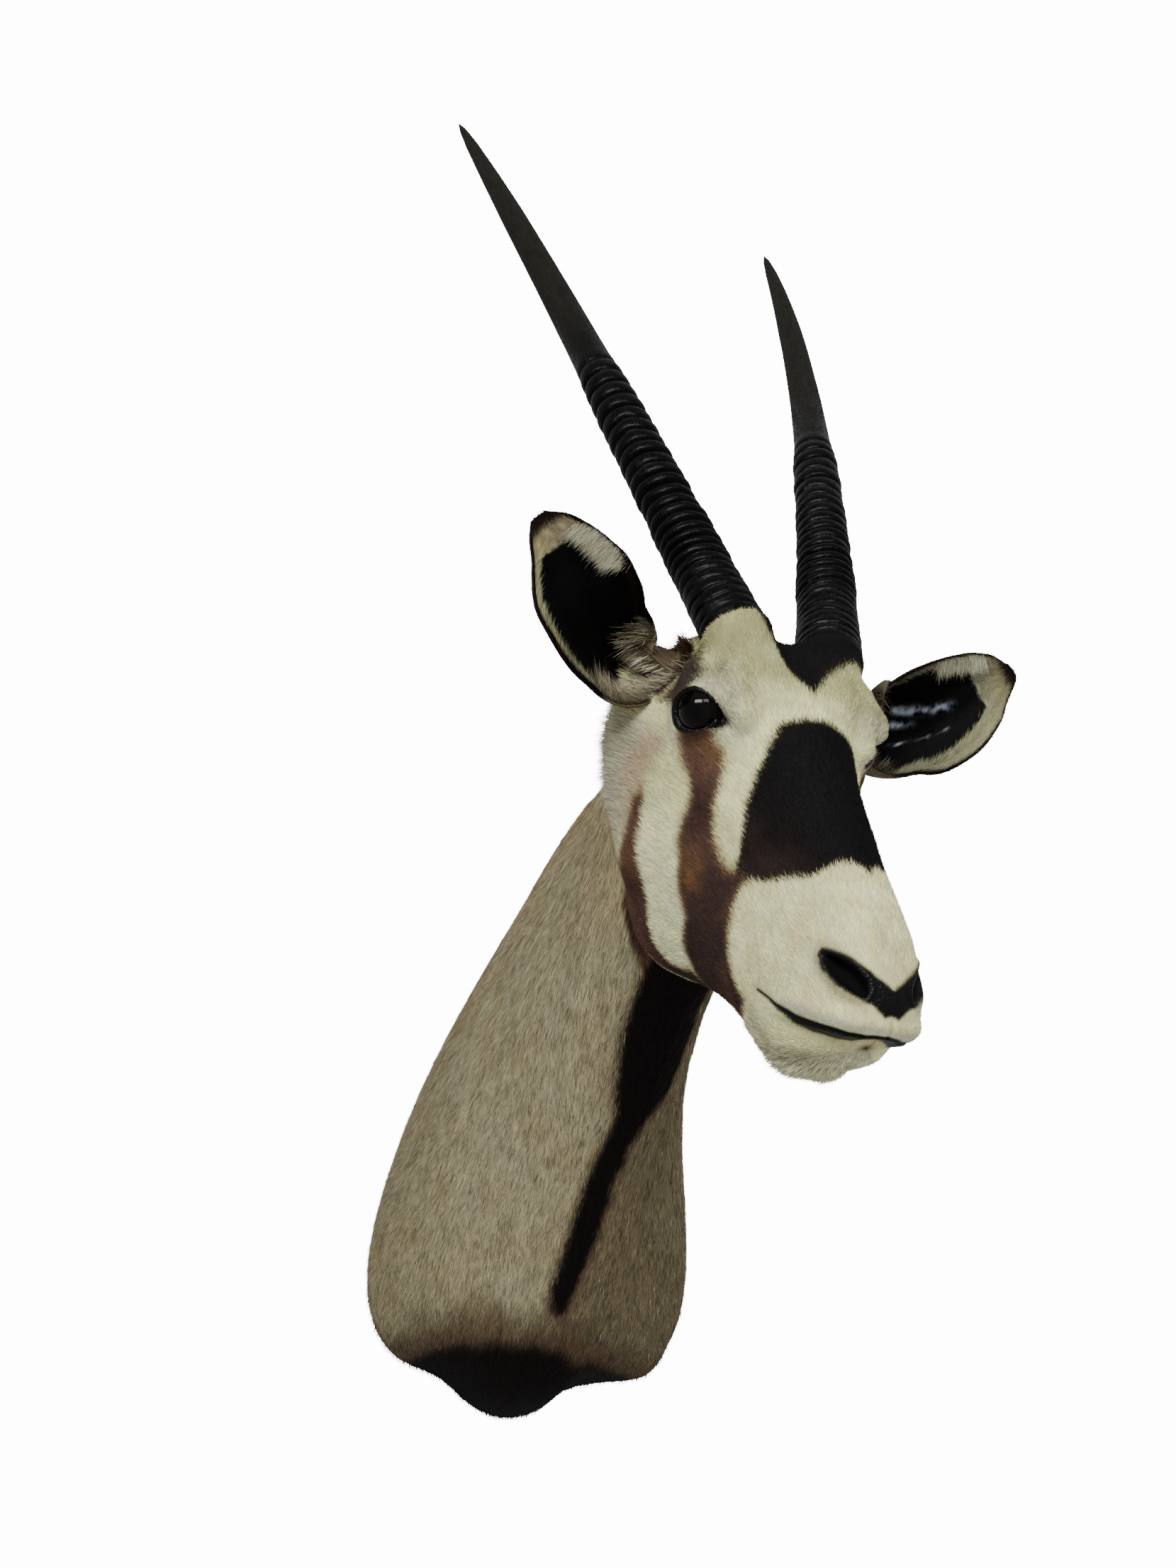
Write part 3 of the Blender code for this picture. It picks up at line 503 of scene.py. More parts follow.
LIP_BAND = (  # v, width
    (16.3, 0.0004), (17, 0.0012), (17.8, 0.0024), (18.6, 0.0036), (19.3, 0.0034), (19.9, 0.003))
WARM_SPOTS = (  # reddish places in the brown stripes: strength, v, its spread, u from the top, its spread
    (1.0, 12.5, 0.55, 3.95, 0.45), (0.6, 11.3, 0.3, 2.1, 0.25), (0.4, 10.0, 0.6, 4.4, 0.35))
EDGE = 0.0022  # how wide a marking's soft edge is


def paint(red, green, blue):
    """A colour as light, from its everyday 0 to 255 numbers."""
    shares = np.array([red, green, blue]) / 255
    return np.where(shares <= 0.04045, shares / 12.92, ((shares + 0.055) / 1.055) ** 2.4)


CREAM, WHITE, GREY = paint(226, 226, 170), paint(232, 236, 196), paint(178, 174, 150)
FAWN, FAWN_BROWN, FAWN_DARK = paint(170, 162, 130), paint(146, 126, 88), paint(108, 95, 68)
BLACK, BLACK_BROWN, RED_BROWN = paint(7, 5, 5), paint(26, 17, 14), paint(96, 70, 54)
STRIPE_BROWN, PINK_FAWN = paint(58, 42, 38), paint(172, 152, 124)
ORANGE_BROWN, OLIVE, LEATHER = paint(114, 82, 50), paint(178, 176, 152), paint(5, 5, 5)
FOREHEAD, PINK_CREAM, LIP_HIGHLIGHT = paint(162, 160, 112), paint(212, 196, 150), paint(206, 214, 216)
TUFT, TANNED = paint(222, 212, 184), paint(150, 128, 100)

skin = dressed_hide()
skin_normals = grid_normals(skin)
skin_in_head = to_head(skin)


def marking_fields():
    """Smooth fields over the hide's grid that say which marking a place is in, and where the hide is bare."""
    fields = {name: region(outline, across) for name, (outline, across) in MARKINGS.items()}
    fields["throat"] = fields["throat"] + 0.0025
    band = np.interp(ROWS, *np.transpose(LIP_BAND))[:, None]
    behind = 0.01 * fade(16.1, 16.3, ROWS)[:, None]
    fields["lips"] = np.minimum(fields["lip"] + 0.0013, band - fields["lip"]) - behind
    left = np.tanh(FROM_TOP * 3) * np.tanh((HALF_TURN - EITHER_SIDE) * 3)
    for name, values in (("v", ROWS[:, None]), ("s", EITHER_SIDE[None, :]), ("left", left)):
        fields[name] = np.broadcast_to(values, skin.shape[:2])
    tears, eyes, feet = [], [], []
    for side in (1, -1):
        here = mirrored(skin_in_head, side) - TEAR_SHIFT[side]
        tears.append(tube(here, TEAR_LINE, (0.006, 0.0038, 0.0008)))
        eyes.append(lengths(skin_in_head - EYE_CENTRE[side]))
        base, above = horn_path(np.array([-0.03, 0.02]), side)
        axis = unit(above - base)
        away = skin_in_head - base
        reach = away @ axis
        feet.append(lengths(away - reach[..., None] * axis) + 10 * np.maximum(-reach, 0))
    fields["tear"], fields["eye"], fields["horn"] = -np.minimum(*tears), np.minimum(*eyes), np.minimum(*feet)
    return fields


def bareness(field):
    """More than zero where the hide is bare: on the lips, in the tear corners and on the nose."""
    return np.maximum(np.maximum(field["lips"], field["tear"]), field["nose"] - 0.001)


def neck_colour(field, soft):
    """Fawn, browner along the crest, with painted shade low on the left and by the wall, and grey towards the
    head.
    """
    v, s = field["v"], field["s"]
    # Painted shade: darker low on the animal's left side and near the wall.
    dark = ease(0, 0.9, field["left"]) * ease(3, 6, s) + 0.25 * fade(0.4, 2.2, v)
    return layered(
        FAWN,
        (FAWN_BROWN, np.clip(0.15 + 0.3 * soft + 0.6 * fade(0.5, 3.6, s), 0, 1)),
        (FAWN_DARK, 0.75 * np.clip(dark, 0, 1)),
        (PINK_CREAM * 0.85, 0.75 * ease(4.6, 6.6, v) * fade(4.6, 6, s)),
        (GREY, 0.45 * ease(6.8, 8.6, v)))


def head_colour(field, soft, patches):
    """Cream, with white cheeks, an olive forehead and jaw, grey round the eyes and fawn behind the cheeks."""
    v, s = field["v"], field["s"]
    muzzle = ease(13.8, 15, v)
    behind = ease(2.4, 2.9, s) * fade(9.6, 10.5, v + 0.45 * (s - 2.9))
    return layered(
        CREAM,
        (WHITE, 0.55 * ease(3, 4.2, s) * fade(14, 15.5, v)),
        (PINK_CREAM, muzzle * np.clip(0.1 + 0.8 * patches, 0, 0.6)),
        (WHITE, muzzle * np.clip(-0.7 * patches, 0, 0.5)),
        (FOREHEAD, np.clip(1 + 0.5 * patches, 0, 1) * fade(1.3, 2.2, s) * fade(10.4, 11.6, v)),
        (GREY, 0.75 * fade(0.022, 0.048, field["eye"])),
        (WHITE, 0.5 * bell(s, 1.6, 0.22, v, 11.45, 0.4)),  # under the tear corner
        (OLIVE, 0.7 * ease(4.4, 5.2, s) * ease(15.9, 16.6, v) * (1 - 0.5 * np.clip(patches, 0, 1))),
        # Painted highlight: a pale bluish line along the upper lip, over its pale hair.
        (LIP_HIGHLIGHT, 0.45 * bell(field["lip"], -0.0045, 0.002) * ease(16.8, 17.6, v)),
        (FAWN_DARK, 0.45 * ease(-0.01, -0.001, field["nose"]) * ease(1, 1.6, s)),
        (mix(GREY, PINK_FAWN, ease(8.8, 9.6, v + 0.4 * soft)), 0.95 * behind))


def coat_colour(field, spots, fray):
    """The coat's colour at places with these marking fields. Fray shifts a marking's edge, in metres."""
    v, s = field["v"], field["s"]
    soft, fine = speckle(spots, 0.03, 11), speckle(spots, 0.009, 12, (1, 0.5, 1))
    patches = speckle(spots, 0.022, 14) * 0.7 + speckle(spots, 0.01, 15) * 0.4
    face = ease(7.5, 8.5, v + soft * 0.2 - 0.9 * ease(3.6, 4.8, s) - 0.5 * fade(0.6, 1.6, s))
    colour = mix(neck_colour(field, soft), head_colour(field, soft, patches), face)
    ridge = bell(v, 9.14, 0.05) * ease(1.35, 1.6, s) * fade(2.2, 2.4, s)  # a pale gap across the brow band
    brown = np.maximum(field["stripe"], field["jaw"])
    inside = ease(-EDGE * 0.5, EDGE * 2, brown + fray)
    deep = np.clip(0.45 + 0.5 * ease(11.2, 13.4, v) - 0.7 * patches, 0, 1)
    warm = sum(weight * bell(v, v0, height, s, s0, width) for weight, v0, height, s0, width in WARM_SPOTS)
    colour = layered(
        colour * (1 + 0.1 * fine + 0.05 * soft)[..., None],
        (STRIPE_BROWN * 0.55, 0.97 * ease(-0.004, 0.001, field["brow"] + fray * 1.5)),
        (PINK_CREAM * 0.8, 0.8 * ridge),
        (ORANGE_BROWN, 0.7 * ease(-EDGE * 2.5, EDGE, brown + fray * 1.3)),
        (RED_BROWN, inside),
        (STRIPE_BROWN, deep * ease(0.001, 0.008, brown + fray * 1.5)),
        (ORANGE_BROWN, np.clip(0.55 * warm + 0.6 * warm * patches, 0, 0.8) * inside),
        (FAWN_DARK * 0.75, 0.75 * ease(-0.05, -0.004, field["chest"] + 0.01 * soft)))
    for name, wide in (("throat", 0.009), ("chest", 0.02), ("mane", 0.01)):
        colour = layered(
            colour,
            (RED_BROWN, 0.6 * ease(-wide * 1.5, wide * 0.2, field[name] + fray * 2.5)),
            (BLACK_BROWN, ease(-wide * 0.2, wide * 0.9, field[name] + fray * 2.5)),
            (BLACK * 1.3, 0.7 * ease(0.003, 0.014, field[name])))
    black = np.maximum(np.maximum(field["patch"], field["notch"]) + fray, field["nose"] + 0.35 * fray)
    low_side = ease(12.6, 14.2, v) * ease(1, 2.6, s)  # the nose patch's lower corners stay browner
    corner = 0.6 * low_side * ease(0, 0.002, field["patch"] + fray) * fade(0.008, 0.026, field["patch"])
    colour = layered(
        colour,
        (BLACK_BROWN, ease(-EDGE, EDGE * 0.4, black)),
        (BLACK, ease(0, 0.006, black + 0.001 * fine) * (1 - 0.8 * low_side)),
        (STRIPE_BROWN * 0.8, corner),
        (LEATHER, ease(-0.0008, 0.001, np.maximum(field["lips"], field["tear"]) + fray * 0.3)))
    return np.clip(colour, 0, 1)


fields = marking_fields()


# ---------------------------------------------------------------- meshes
def with_ends(grid, first, last):
    """A grid's values in a row, with those for the middles of the two fans that close its mesh."""
    return np.concatenate([grid.reshape(-1, 3) if grid.ndim == 3 else grid.ravel(), [first, last]])


def add_layer(mesh, name, values):
    """Values on the mesh's points: colours for the coat, and else vectors or plain numbers."""
    if name == "coat":
        layer = mesh.color_attributes.new(name, "FLOAT_COLOR", "POINT")
        rgba = np.ones((len(values), 4), np.float32)
        rgba[:, :3] = values
        layer.data.foreach_set("color", rgba.ravel())
        return
    kind, key = ("FLOAT_VECTOR", "vector") if values.ndim == 2 else ("FLOAT", "value")
    layer = mesh.attributes.new(name, kind, "POINT")
    layer.data.foreach_set(key, np.ascontiguousarray(values, np.float32).ravel())


def make_mesh(name, points, faces, places=None):
    """A mesh from points and from lists of faces with equally many corners. Places are the corners' UVs."""
    mesh = bpy.data.meshes.new(name)
    mesh.vertices.add(len(points))
    mesh.vertices.foreach_set("co", np.ascontiguousarray(points, np.float32).ravel())
    corners = np.concatenate([np.asarray(f).ravel() for f in faces])
    sizes = np.concatenate([np.full(len(f), np.asarray(f).shape[1]) for f in faces])
    mesh.loops.add(len(corners))
    mesh.loops.foreach_set("vertex_index", corners.astype(np.int32))
    mesh.polygons.add(len(sizes))
    mesh.polygons.foreach_set("loop_start", np.concatenate([[0], np.cumsum(sizes)[:-1]]).astype(np.int32))
    mesh.update(calc_edges=True)
    if places is not None:
        layer = mesh.uv_layers.new(name="OFBake")
        layer.data.foreach_set("uv", np.ascontiguousarray(places, np.float32).ravel())
    return mesh


def grid_mesh(name, points, reach=None, close_start=True, close_end=True):
    """A tube over a grid of points, closed across, with a fan over each end that is to be closed."""
    rows, columns = points.shape[:2]
    quads, index, beside = grid_quads(rows, columns)
    reach = np.linspace(0, 1, rows) if reach is None else reach / reach[-1]
    height = np.broadcast_to(0.02 + 0.96 * reach[:, None], (rows, columns))
    width = np.broadcast_to(np.arange(columns)[None, :] / columns, (rows, columns))
    low = np.stack([width, height], -1)
    high = low + np.array([1 / columns, 0])
    places = [np.stack([low[:-1], low[1:], high[1:], high[:-1]], -2).reshape(-1, 2)]
    vertices, fans = [points.reshape(-1, 3)], []
    ends = (0, close_start, (0, 1, 2), -0.015), (rows - 1, close_end, (2, 1, 0), 0.015)
    for row, close, order, rise in ends:
        if close:
            middle = sum(len(v) for v in vertices)
            vertices.append(points[row].mean(0, keepdims=True))
            ring = [index[row], beside[row], np.full(columns, middle)]
            spots = [low[row], high[row], (low[row] + high[row]) / 2 + np.array([0, rise])]
            fans.append(np.stack([ring[k] for k in order], -1))
            places.append(np.stack([spots[k] for k in order], -2).reshape(-1, 2))
    tris = np.concatenate(fans) if fans else np.zeros((0, 3), int)
    vertices, places = np.concatenate(vertices), np.concatenate(places)
    a, b, c = (vertices[quads[:, k]] for k in (0, 1, 2))
    if (np.cross(b - a, c - a) * a).sum() < 0:
        quads, tris = quads[:, ::-1], tris[:, ::-1]
        n = len(quads) * 4
        places = np.concatenate([places[:n].reshape(-1, 4, 2)[:, ::-1].reshape(-1, 2),
                                 places[n:].reshape(-1, 3, 2)[:, ::-1].reshape(-1, 2)])
    return make_mesh(name, vertices, [quads, tris] if len(tris) else [quads], places)


def put(name, mesh, finish, slot, *nodes, **layers):
    """Adds a piece that rides on the mount, with values on its points, and hides the solids it stands for."""
    for layer, values in layers.items():
        add_layer(mesh, layer, values)
    if finish is not HAIR:
        mesh.shade_smooth()
    piece = bpy.data.objects.new(name, mesh)
    bpy.context.scene.collection.objects.link(piece)
    mesh.materials.append(finish)
    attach(piece, "root")
    if nodes:
        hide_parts(*nodes)
    return piece


# ---------------------------------------------------------------- finishes
class Wire:
    """A socket of a finish. Arithmetic on it adds Math nodes."""

    def __init__(self, finish, socket):
        self.finish, self.socket = finish, socket

    def sum(self, operation, *values):
        return self.finish.node("Math", {"operation": operation}, dict(enumerate(values)))

    def __add__(self, other):
        return self.sum("ADD", self, other)

    def __sub__(self, other):
        return self.sum("SUBTRACT", self, other)

    def __mul__(self, other):
        return self.sum("MULTIPLY", self, other)

    def __pow__(self, other):
        return self.sum("POWER", self, other)

    def __rsub__(self, other):
        return self.sum("SUBTRACT", other, self)

    __radd__, __rmul__ = __add__, __mul__

    def between(self, low, high, start=0.0, end=1.0):
        """Eased from start to end while this value goes from low to high."""
        return self.finish.node("MapRange", {"interpolation_type": "SMOOTHSTEP"},
                                {0: self, 1: low, 2: high, 3: start, 4: end})


class Finish:
    """One material, made node by node."""

    def __init__(self, name, **constants):
        self.material = bpy.data.materials.new(name)
        self.material.use_nodes = True
        self.tree = self.material.node_tree
        self.shader = self.tree.nodes["Principled BSDF"]
        for socket, value in constants.items():
            self.shader.inputs[socket.replace("_", " ")].default_value = value

    def node(self, kind, settings=None, values=None, out=0):
        made = self.tree.nodes.new("ShaderNode" + kind)
        for setting, value in (settings or {}).items():
            if setting == "stops":
                while len(made.color_ramp.elements) < len(value):
                    made.color_ramp.elements.new(0.5)
                for stop, (place, colour) in zip(made.color_ramp.elements, value):
                    stop.position, stop.color = place, (*colour, 1)
            else:
                setattr(made, setting, value)
        for socket, value in (values or {}).items():
            self.feed(made.inputs[socket], value)
        return Wire(self, made.outputs[out])

    def feed(self, socket, value):
        if isinstance(value, Wire):
            self.tree.links.new(value.socket, socket)
        elif socket.type == "RGBA":
            socket.default_value = (*value, 1)
        else:
            socket.default_value = value

    def blend(self, share, first, second, kind="MIX"):
        settings = {"data_type": "RGBA", "blend_type": kind}
        return self.node("Mix", settings, {0: share, 6: first, 7: second}, out=2)

    def noise(self, place, scale, detail=2.0, roughness=0.5, distortion=0.0):
        return self.node("TexNoise", {}, {"Vector": place, "Scale": scale, "Detail": detail,
                                          "Roughness": roughness, "Distortion": distortion})

    def stretched(self, place, x, y, z):
        return self.node("VectorMath", {"operation": "MULTIPLY"}, {0: place, 1: (x, y, z)})

    def here(self):
        return self.node("TexCoord", out="Object")

    def attribute(self, name, out="Fac"):
        return self.node("Attribute", {"attribute_name": name}, out=out)

    def bump(self, height, strength, distance=0.001):
        normal = self.node("Bump", {}, {"Height": height, "Strength": strength, "Distance": distance})
        self.show(Normal=normal)

    def show(self, **links):
        for socket, value in links.items():
            self.feed(self.shader.inputs[socket.replace("_", " ")], value)


def hide_finish():
    """Tanned hide under its hair: matt, streaked, and black and pebbled like leather where it is bare."""
    f = Finish("hide", Specular_IOR_Level=0.14)
    place, coat, bare = f.here(), f.attribute("coat", "Color"), f.attribute("bare")
    streak = f.noise(f.stretched(place, 1.0, 0.35, 0.35), 420, 3, 0.6)
    shade = f.blend(1.0, coat, f.blend(streak, (0.62, 0.6, 0.58), (1.18, 1.18, 1.18)), "MULTIPLY")
    pebbles = f.node("TexVoronoi", {"feature": "SMOOTH_F1"},
                     {"Vector": place, "Scale": 620, "Smoothness": 0.6})
    f.show(Base_Color=f.blend(bare, shade, coat), Roughness=0.92 - bare * 0.62 + pebbles * bare * 0.2)
    f.bump(streak * (1 - bare) * 0.6 + pebbles * bare * 1.2, 0.55, 0.0008)
    return f.material


def hair_finish():
    f = Finish("hair", Roughness=0.7, Specular_IOR_Level=0.12)
    f.show(Base_Color=f.attribute("coat", "Color"))
    return f.material


def ear_finish():
    """Thin ear leather under short hair, darker and finely creased inside."""
    f = Finish("ear", Specular_IOR_Level=0.1)
    place, coat = f.here(), f.attribute("coat", "Color")
    creases = f.noise(f.stretched(place, 1.0, 0.5, 0.5), 520, 4, 0.6, 0.4)
    shade = f.blend(1.0, coat, f.blend(creases, (0.7, 0.7, 0.7), (1.12, 1.12, 1.12)), "MULTIPLY")
    f.show(Base_Color=shade, Roughness=0.85 - creases * 0.15 - f.attribute("gloss") * 0.5)
    f.bump(creases, 0.5, 0.0007)
    return f.material


def horn_finish():
    """Keratin: glossy black over the rings, satin and brownish grey to the tip, with fibres along it."""
    f = Finish("horn", Specular_IOR_Level=0.06, Coat_Roughness=0.1)
    grain, reach, groove = f.attribute("grain", "Vector"), f.attribute("reach"), f.attribute("groove")
    fibres = f.noise(f.stretched(grain, 1.0, 1.0, 0.05), 26, 5, 0.62, 0.3)
    fine = f.noise(f.stretched(grain, 1.0, 1.0, 0.02), 70, 4, 0.6)
    clouds = f.noise(f.stretched(grain, 1.0, 1.0, 0.6), 1.6, 3, 0.5)
    bared = (reach + clouds * 0.16).between(0.42, 0.56)
    worn = fibres.between(0.42, 0.72)
    ringed = f.blend(worn * 0.4, paint(2, 2, 2), paint(10, 9, 9))
    # Painted shade: the grooves between the rings are painted darker.
    ringed = f.blend(groove * 0.8, ringed, paint(2, 2, 2))
    bare = f.blend(fine.between(0.3, 0.7), paint(14, 13, 10), paint(28, 26, 20))
    bare = f.blend(clouds.between(0.45, 0.75, 0.0, 0.55), bare, paint(8, 8, 7))
    polish = f.noise(f.stretched(grain, 1.0, 1.0, 1.0), 7, 4, 0.65)
    f.show(Base_Color=f.blend(bared, ringed, bare),
           Roughness=0.16 + bared * 0.34 + polish.between(0.4, 0.62) * 0.3,
           Coat_Weight=0.04 - bared * 0.03)
    f.bump(fibres * 0.7 + fine * 0.4 + polish * 1.6 * (1 - bared), 0.45, 0.0008)
    return f.material


def glass_finish():
    """A dark brown glass eye with a level, oblong pupil behind a clear, glossy front."""
    f = Finish("eye_glass", Roughness=0.04, Coat_Weight=0.06, Coat_Roughness=0.02, Specular_IOR_Level=0.1)
    gaze = f.attribute("gaze", "Vector")
    parts = [f.node("SeparateXYZ", {}, {0: gaze}, out=k) for k in range(3)]
    forward, upward = parts[0], parts[1]
    pupil = ((forward * 1.9) ** 2 + (upward * 3.6) ** 2) ** 0.5
    rim = (forward ** 2 + upward ** 2) ** 0.5
    rays = f.noise(f.stretched(gaze, 5, 5, 1), 3.0, 4, 0.7)
    iris = f.blend(rays, paint(3, 2, 2), paint(12, 7, 5))
    iris = f.blend(rim.between(0.62, 0.86), iris, paint(2, 2, 2))
    f.show(Base_Color=f.blend(pupil.between(0.86, 1.02), paint(2, 2, 3), iris))
    return f.material


def plywood_finish():
    """Birch ply: wide figure on its faces and thin plies on its edge."""
    f = Finish("plywood", Specular_IOR_Level=0.35)
    place = f.here()
    depth = f.node("SeparateXYZ", {}, {0: place}, out=1)
    plies = f.node("Math", {"operation": "PINGPONG"}, {0: depth * -1.0 + 0.00135, 1: 0.0027})
    figure = f.noise(f.stretched(place, 9.0, 9.0, 1.3), 3.4, 5, 0.6, 1.4)
    fibres = f.noise(f.stretched(place, 60.0, 60.0, 4.0), 9, 3, 0.6)
    face = f.blend(figure.between(0.35, 0.65), paint(198, 168, 124), paint(164, 128, 86))
    ply = f.blend(plies.between(0.0012, 0.0016), paint(190, 158, 114), paint(128, 94, 60))
    facing = f.node("SeparateXYZ", {}, {0: f.node("NewGeometry", out="True Normal")}, out=1)
    edge = 1 - (facing * facing).between(0.2, 0.6)
    f.show(Base_Color=f.blend(edge, f.blend(fibres * 0.35, face, paint(120, 88, 56)), ply),
           Roughness=0.62 + fibres * 0.2)
    f.bump(fibres, 0.3, 0.0004)
    return f.material


def steel_finish():
    """Zinc-plated sheet steel, with rolling marks and dull spangles."""
    f = Finish("steel", Metallic=1.0, Specular_IOR_Level=0.5)
    place = f.here()
    rolled = f.noise(f.stretched(place, 2.0, 30.0, 30.0), 22, 3, 0.6)
    spangle = f.node("TexVoronoi", {}, {"Vector": place, "Scale": 260})
    f.show(Base_Color=f.blend(rolled * 0.6 + spangle * 0.3, paint(178, 180, 184), paint(132, 136, 144)),
           Roughness=0.26 + rolled * 0.18 + spangle * 0.12)
    f.bump(rolled, 0.12, 0.0002)
    return f.material


HIDE, HAIR, EAR, HORN, GLASS = hide_finish(), hair_finish(), ear_finish(), horn_finish(), glass_finish()


# ---------------------------------------------------------------- hide
# The hide's turned-in rim, from the middle of the board's pocket outwards: share of the rim's size, and y.
POCKET = ((0.02, -0.0194), (0.866, -0.0194), (0.866, -0.0006), (0.9, -0.0003), (0.985, -0.0003))


def dress_hide(shape):
    """The skin, turned in at the wall down to the board's pocket."""
    smooth = skin[0]
    middle = smooth.mean(0)
    rows = []
    for share, y in POCKET:
        ring = middle + (smooth - middle) * share
        ring[:, 1] = y
        rows.append(ring)
    tanned = np.broadcast_to(TANNED, (len(rows), len(COLUMNS), 3))
    colours = coat_colour(fields, skin, speckle(skin, 0.004, 21) * 0.0012) * 0.62
    bare, open_pit = ease(-0.0015, 0.001, bareness(fields)), ease(0, 0.003, fields["pit"])
    # Painted shade: the nostril's hollow is painted darker than its leather.
    colours = mix(colours, LEATHER, bare) * (1 - 0.7 * open_pit)[..., None]
    bare = np.concatenate([np.zeros(tanned.shape[:2]), bare * (1 - open_pit)])
    reach = np.concatenate([np.linspace(-0.1, -0.005, len(rows)), ROW_REACH]) + 0.1
    mesh = grid_mesh("skin", np.concatenate([np.array(rows), shape]), reach)
    coat = with_ends(np.concatenate([tanned, colours]), TANNED, LEATHER)
    put("skin", mesh, HIDE, "hide", "hide", coat=coat, bare=with_ends(bare, 0, 0))


# ---------------------------------------------------------------- eyes and lids
def eye_frame(side):
    """Rows: towards the tear corner, towards the brow, and out along the eye's axis, in the head's frame."""
    axis = unit(mirrored(EYE_AXIS, side))
    forward = mirrored(EYE_FORWARD, side)
    forward = unit(forward - axis * (forward @ axis))
    upward = np.cross(axis, forward)
    return np.stack([forward, upward if upward[1] > 0 else -upward, axis])


def glass_eye(side, word):
    """A glass ball, a little more curved in front, with the gaze marked on it."""
    down, around = np.linspace(0.02, pi - 0.02, 40), np.linspace(0, 2 * pi, 72, endpoint=False)
    rays = np.stack([np.sin(down)[:, None] * np.cos(around), np.sin(down)[:, None] * np.sin(around),
                     np.broadcast_to(np.cos(down)[:, None], (40, 72))], -1)
    bulge = 1 + 0.035 * bell(np.degrees(down), 0, 34)
    points = from_head(EYE_CENTRE[side] + (rays * bulge[:, None, None] * EYE_RADIUS) @ eye_frame(side))
    mesh = grid_mesh(f"glass_eye_{word}", points)
    put(f"glass_eye_{word}", mesh, GLASS, "eye_glass", f"eye_{word}",
        gaze=with_ends(rays, (0, 0, 1), (0, 0, -1)))


def near_skin(points):
    """The marking fields, the way the hair lies and the normals here, from the hide's closest points."""
    found = [skin_points.find_n(Vector(p), 4) for p in points.reshape(-1, 3)]
    index = np.array([[f[1] for f in four] for four in found])
    weight = 1 / (np.array([[f[2] for f in four] for four in found]) ** 2 + 1e-7)
    weight /= weight.sum(1, keepdims=True)
    here = {name: (field.reshape(-1)[index] * weight).sum(1).reshape(points.shape[:-1])
            for name, field in fields.items()}
    flow, normals = ((grid.reshape(-1, 3)[index] * weight[..., None]).sum(1).reshape(points.shape)
                     for grid in (skin_flow, skin_normals))
    return here, unit(flow), unit(normals)


LID_STEPS = np.concatenate([np.linspace(0, 1, 13)[:-1] ** 1.4 * 0.003, np.linspace(0.003, LID_WIDTH, 20)])
LID_TURNS = np.arange(0, 360, 3)


def by_turn(pairs):
    """Values for every turn round the eye, smoothed, from pairs of a turn and a value."""
    pairs = np.array(pairs)
    wrapped = np.concatenate([pairs - [360, 0], pairs, pairs + [360, 0]])
    values = np.interp(np.where(LID_TURNS > 180, LID_TURNS - 360, LID_TURNS), wrapped[:, 0], wrapped[:, 1])
    for _ in range(4):
        values = (np.roll(values, 1) + 2 * values + np.roll(values, -1)) / 4
    return values


def lid_surface(side, tree):
    """Walks over the hide away from the lids' opening, once for every turn. Rows: steps; columns: turns."""
    axes, centre = eye_frame(side), EYE_CENTRE[side]
    a, t = np.radians(by_turn(EYE_OPENING[side])), np.radians(LID_TURNS)
    rays = np.stack([np.sin(a) * np.cos(t), np.sin(a) * np.sin(t), np.cos(a)], -1) @ axes
    ahead = np.stack([np.cos(a) * np.cos(t), np.cos(a) * np.sin(t), -np.sin(a)], -1) @ axes @ HEAD_AXES
    walked = np.zeros((len(LID_STEPS), len(LID_TURNS), 3))
    for j, start in enumerate(from_head(centre + rays * (EYE_RADIUS + 0.002))):
        place, normal = tree.find_nearest(Vector(start))[:2]
        heading = Vector(ahead[j])
        walked[0, j] = place
        for k in range(1, len(LID_STEPS)):
            heading = (heading - normal * heading.dot(normal)).normalized()
            place, normal = tree.find_nearest(place + heading * (LID_STEPS[k] - LID_STEPS[k - 1]))[:2]
            walked[k, j] = place
    return walked


def dented(collars):
    """The hide with a hollow under each eye and its lids, and how far each point is in a hollow."""
    hollow, points = np.zeros(skin.shape[:2]), skin.copy()
    last = len(LID_STEPS) - 1
    for side, walked in collars.items():
        tree = point_tree(walked)
        centre = from_head(EYE_CENTRE[side])
        for i, j in np.argwhere(lengths(skin - centre) < 0.05):
            _, number, away = tree.find(Vector(skin[i, j]))
            step = number // len(LID_TURNS)
            beyond = away if step == last else 0
            share = fade(LID_WIDTH - 0.0035, LID_WIDTH - 0.001, LID_STEPS[step] + beyond)
            hollow[i, j] = max(hollow[i, j], share)
            ray = skin[i, j] - centre
            target = centre + ray * min(1.0, (EYE_RADIUS - 0.004) / np.linalg.norm(ray))
            points[i, j] = skin[i, j] * (1 - share) + target * share
    return points, hollow


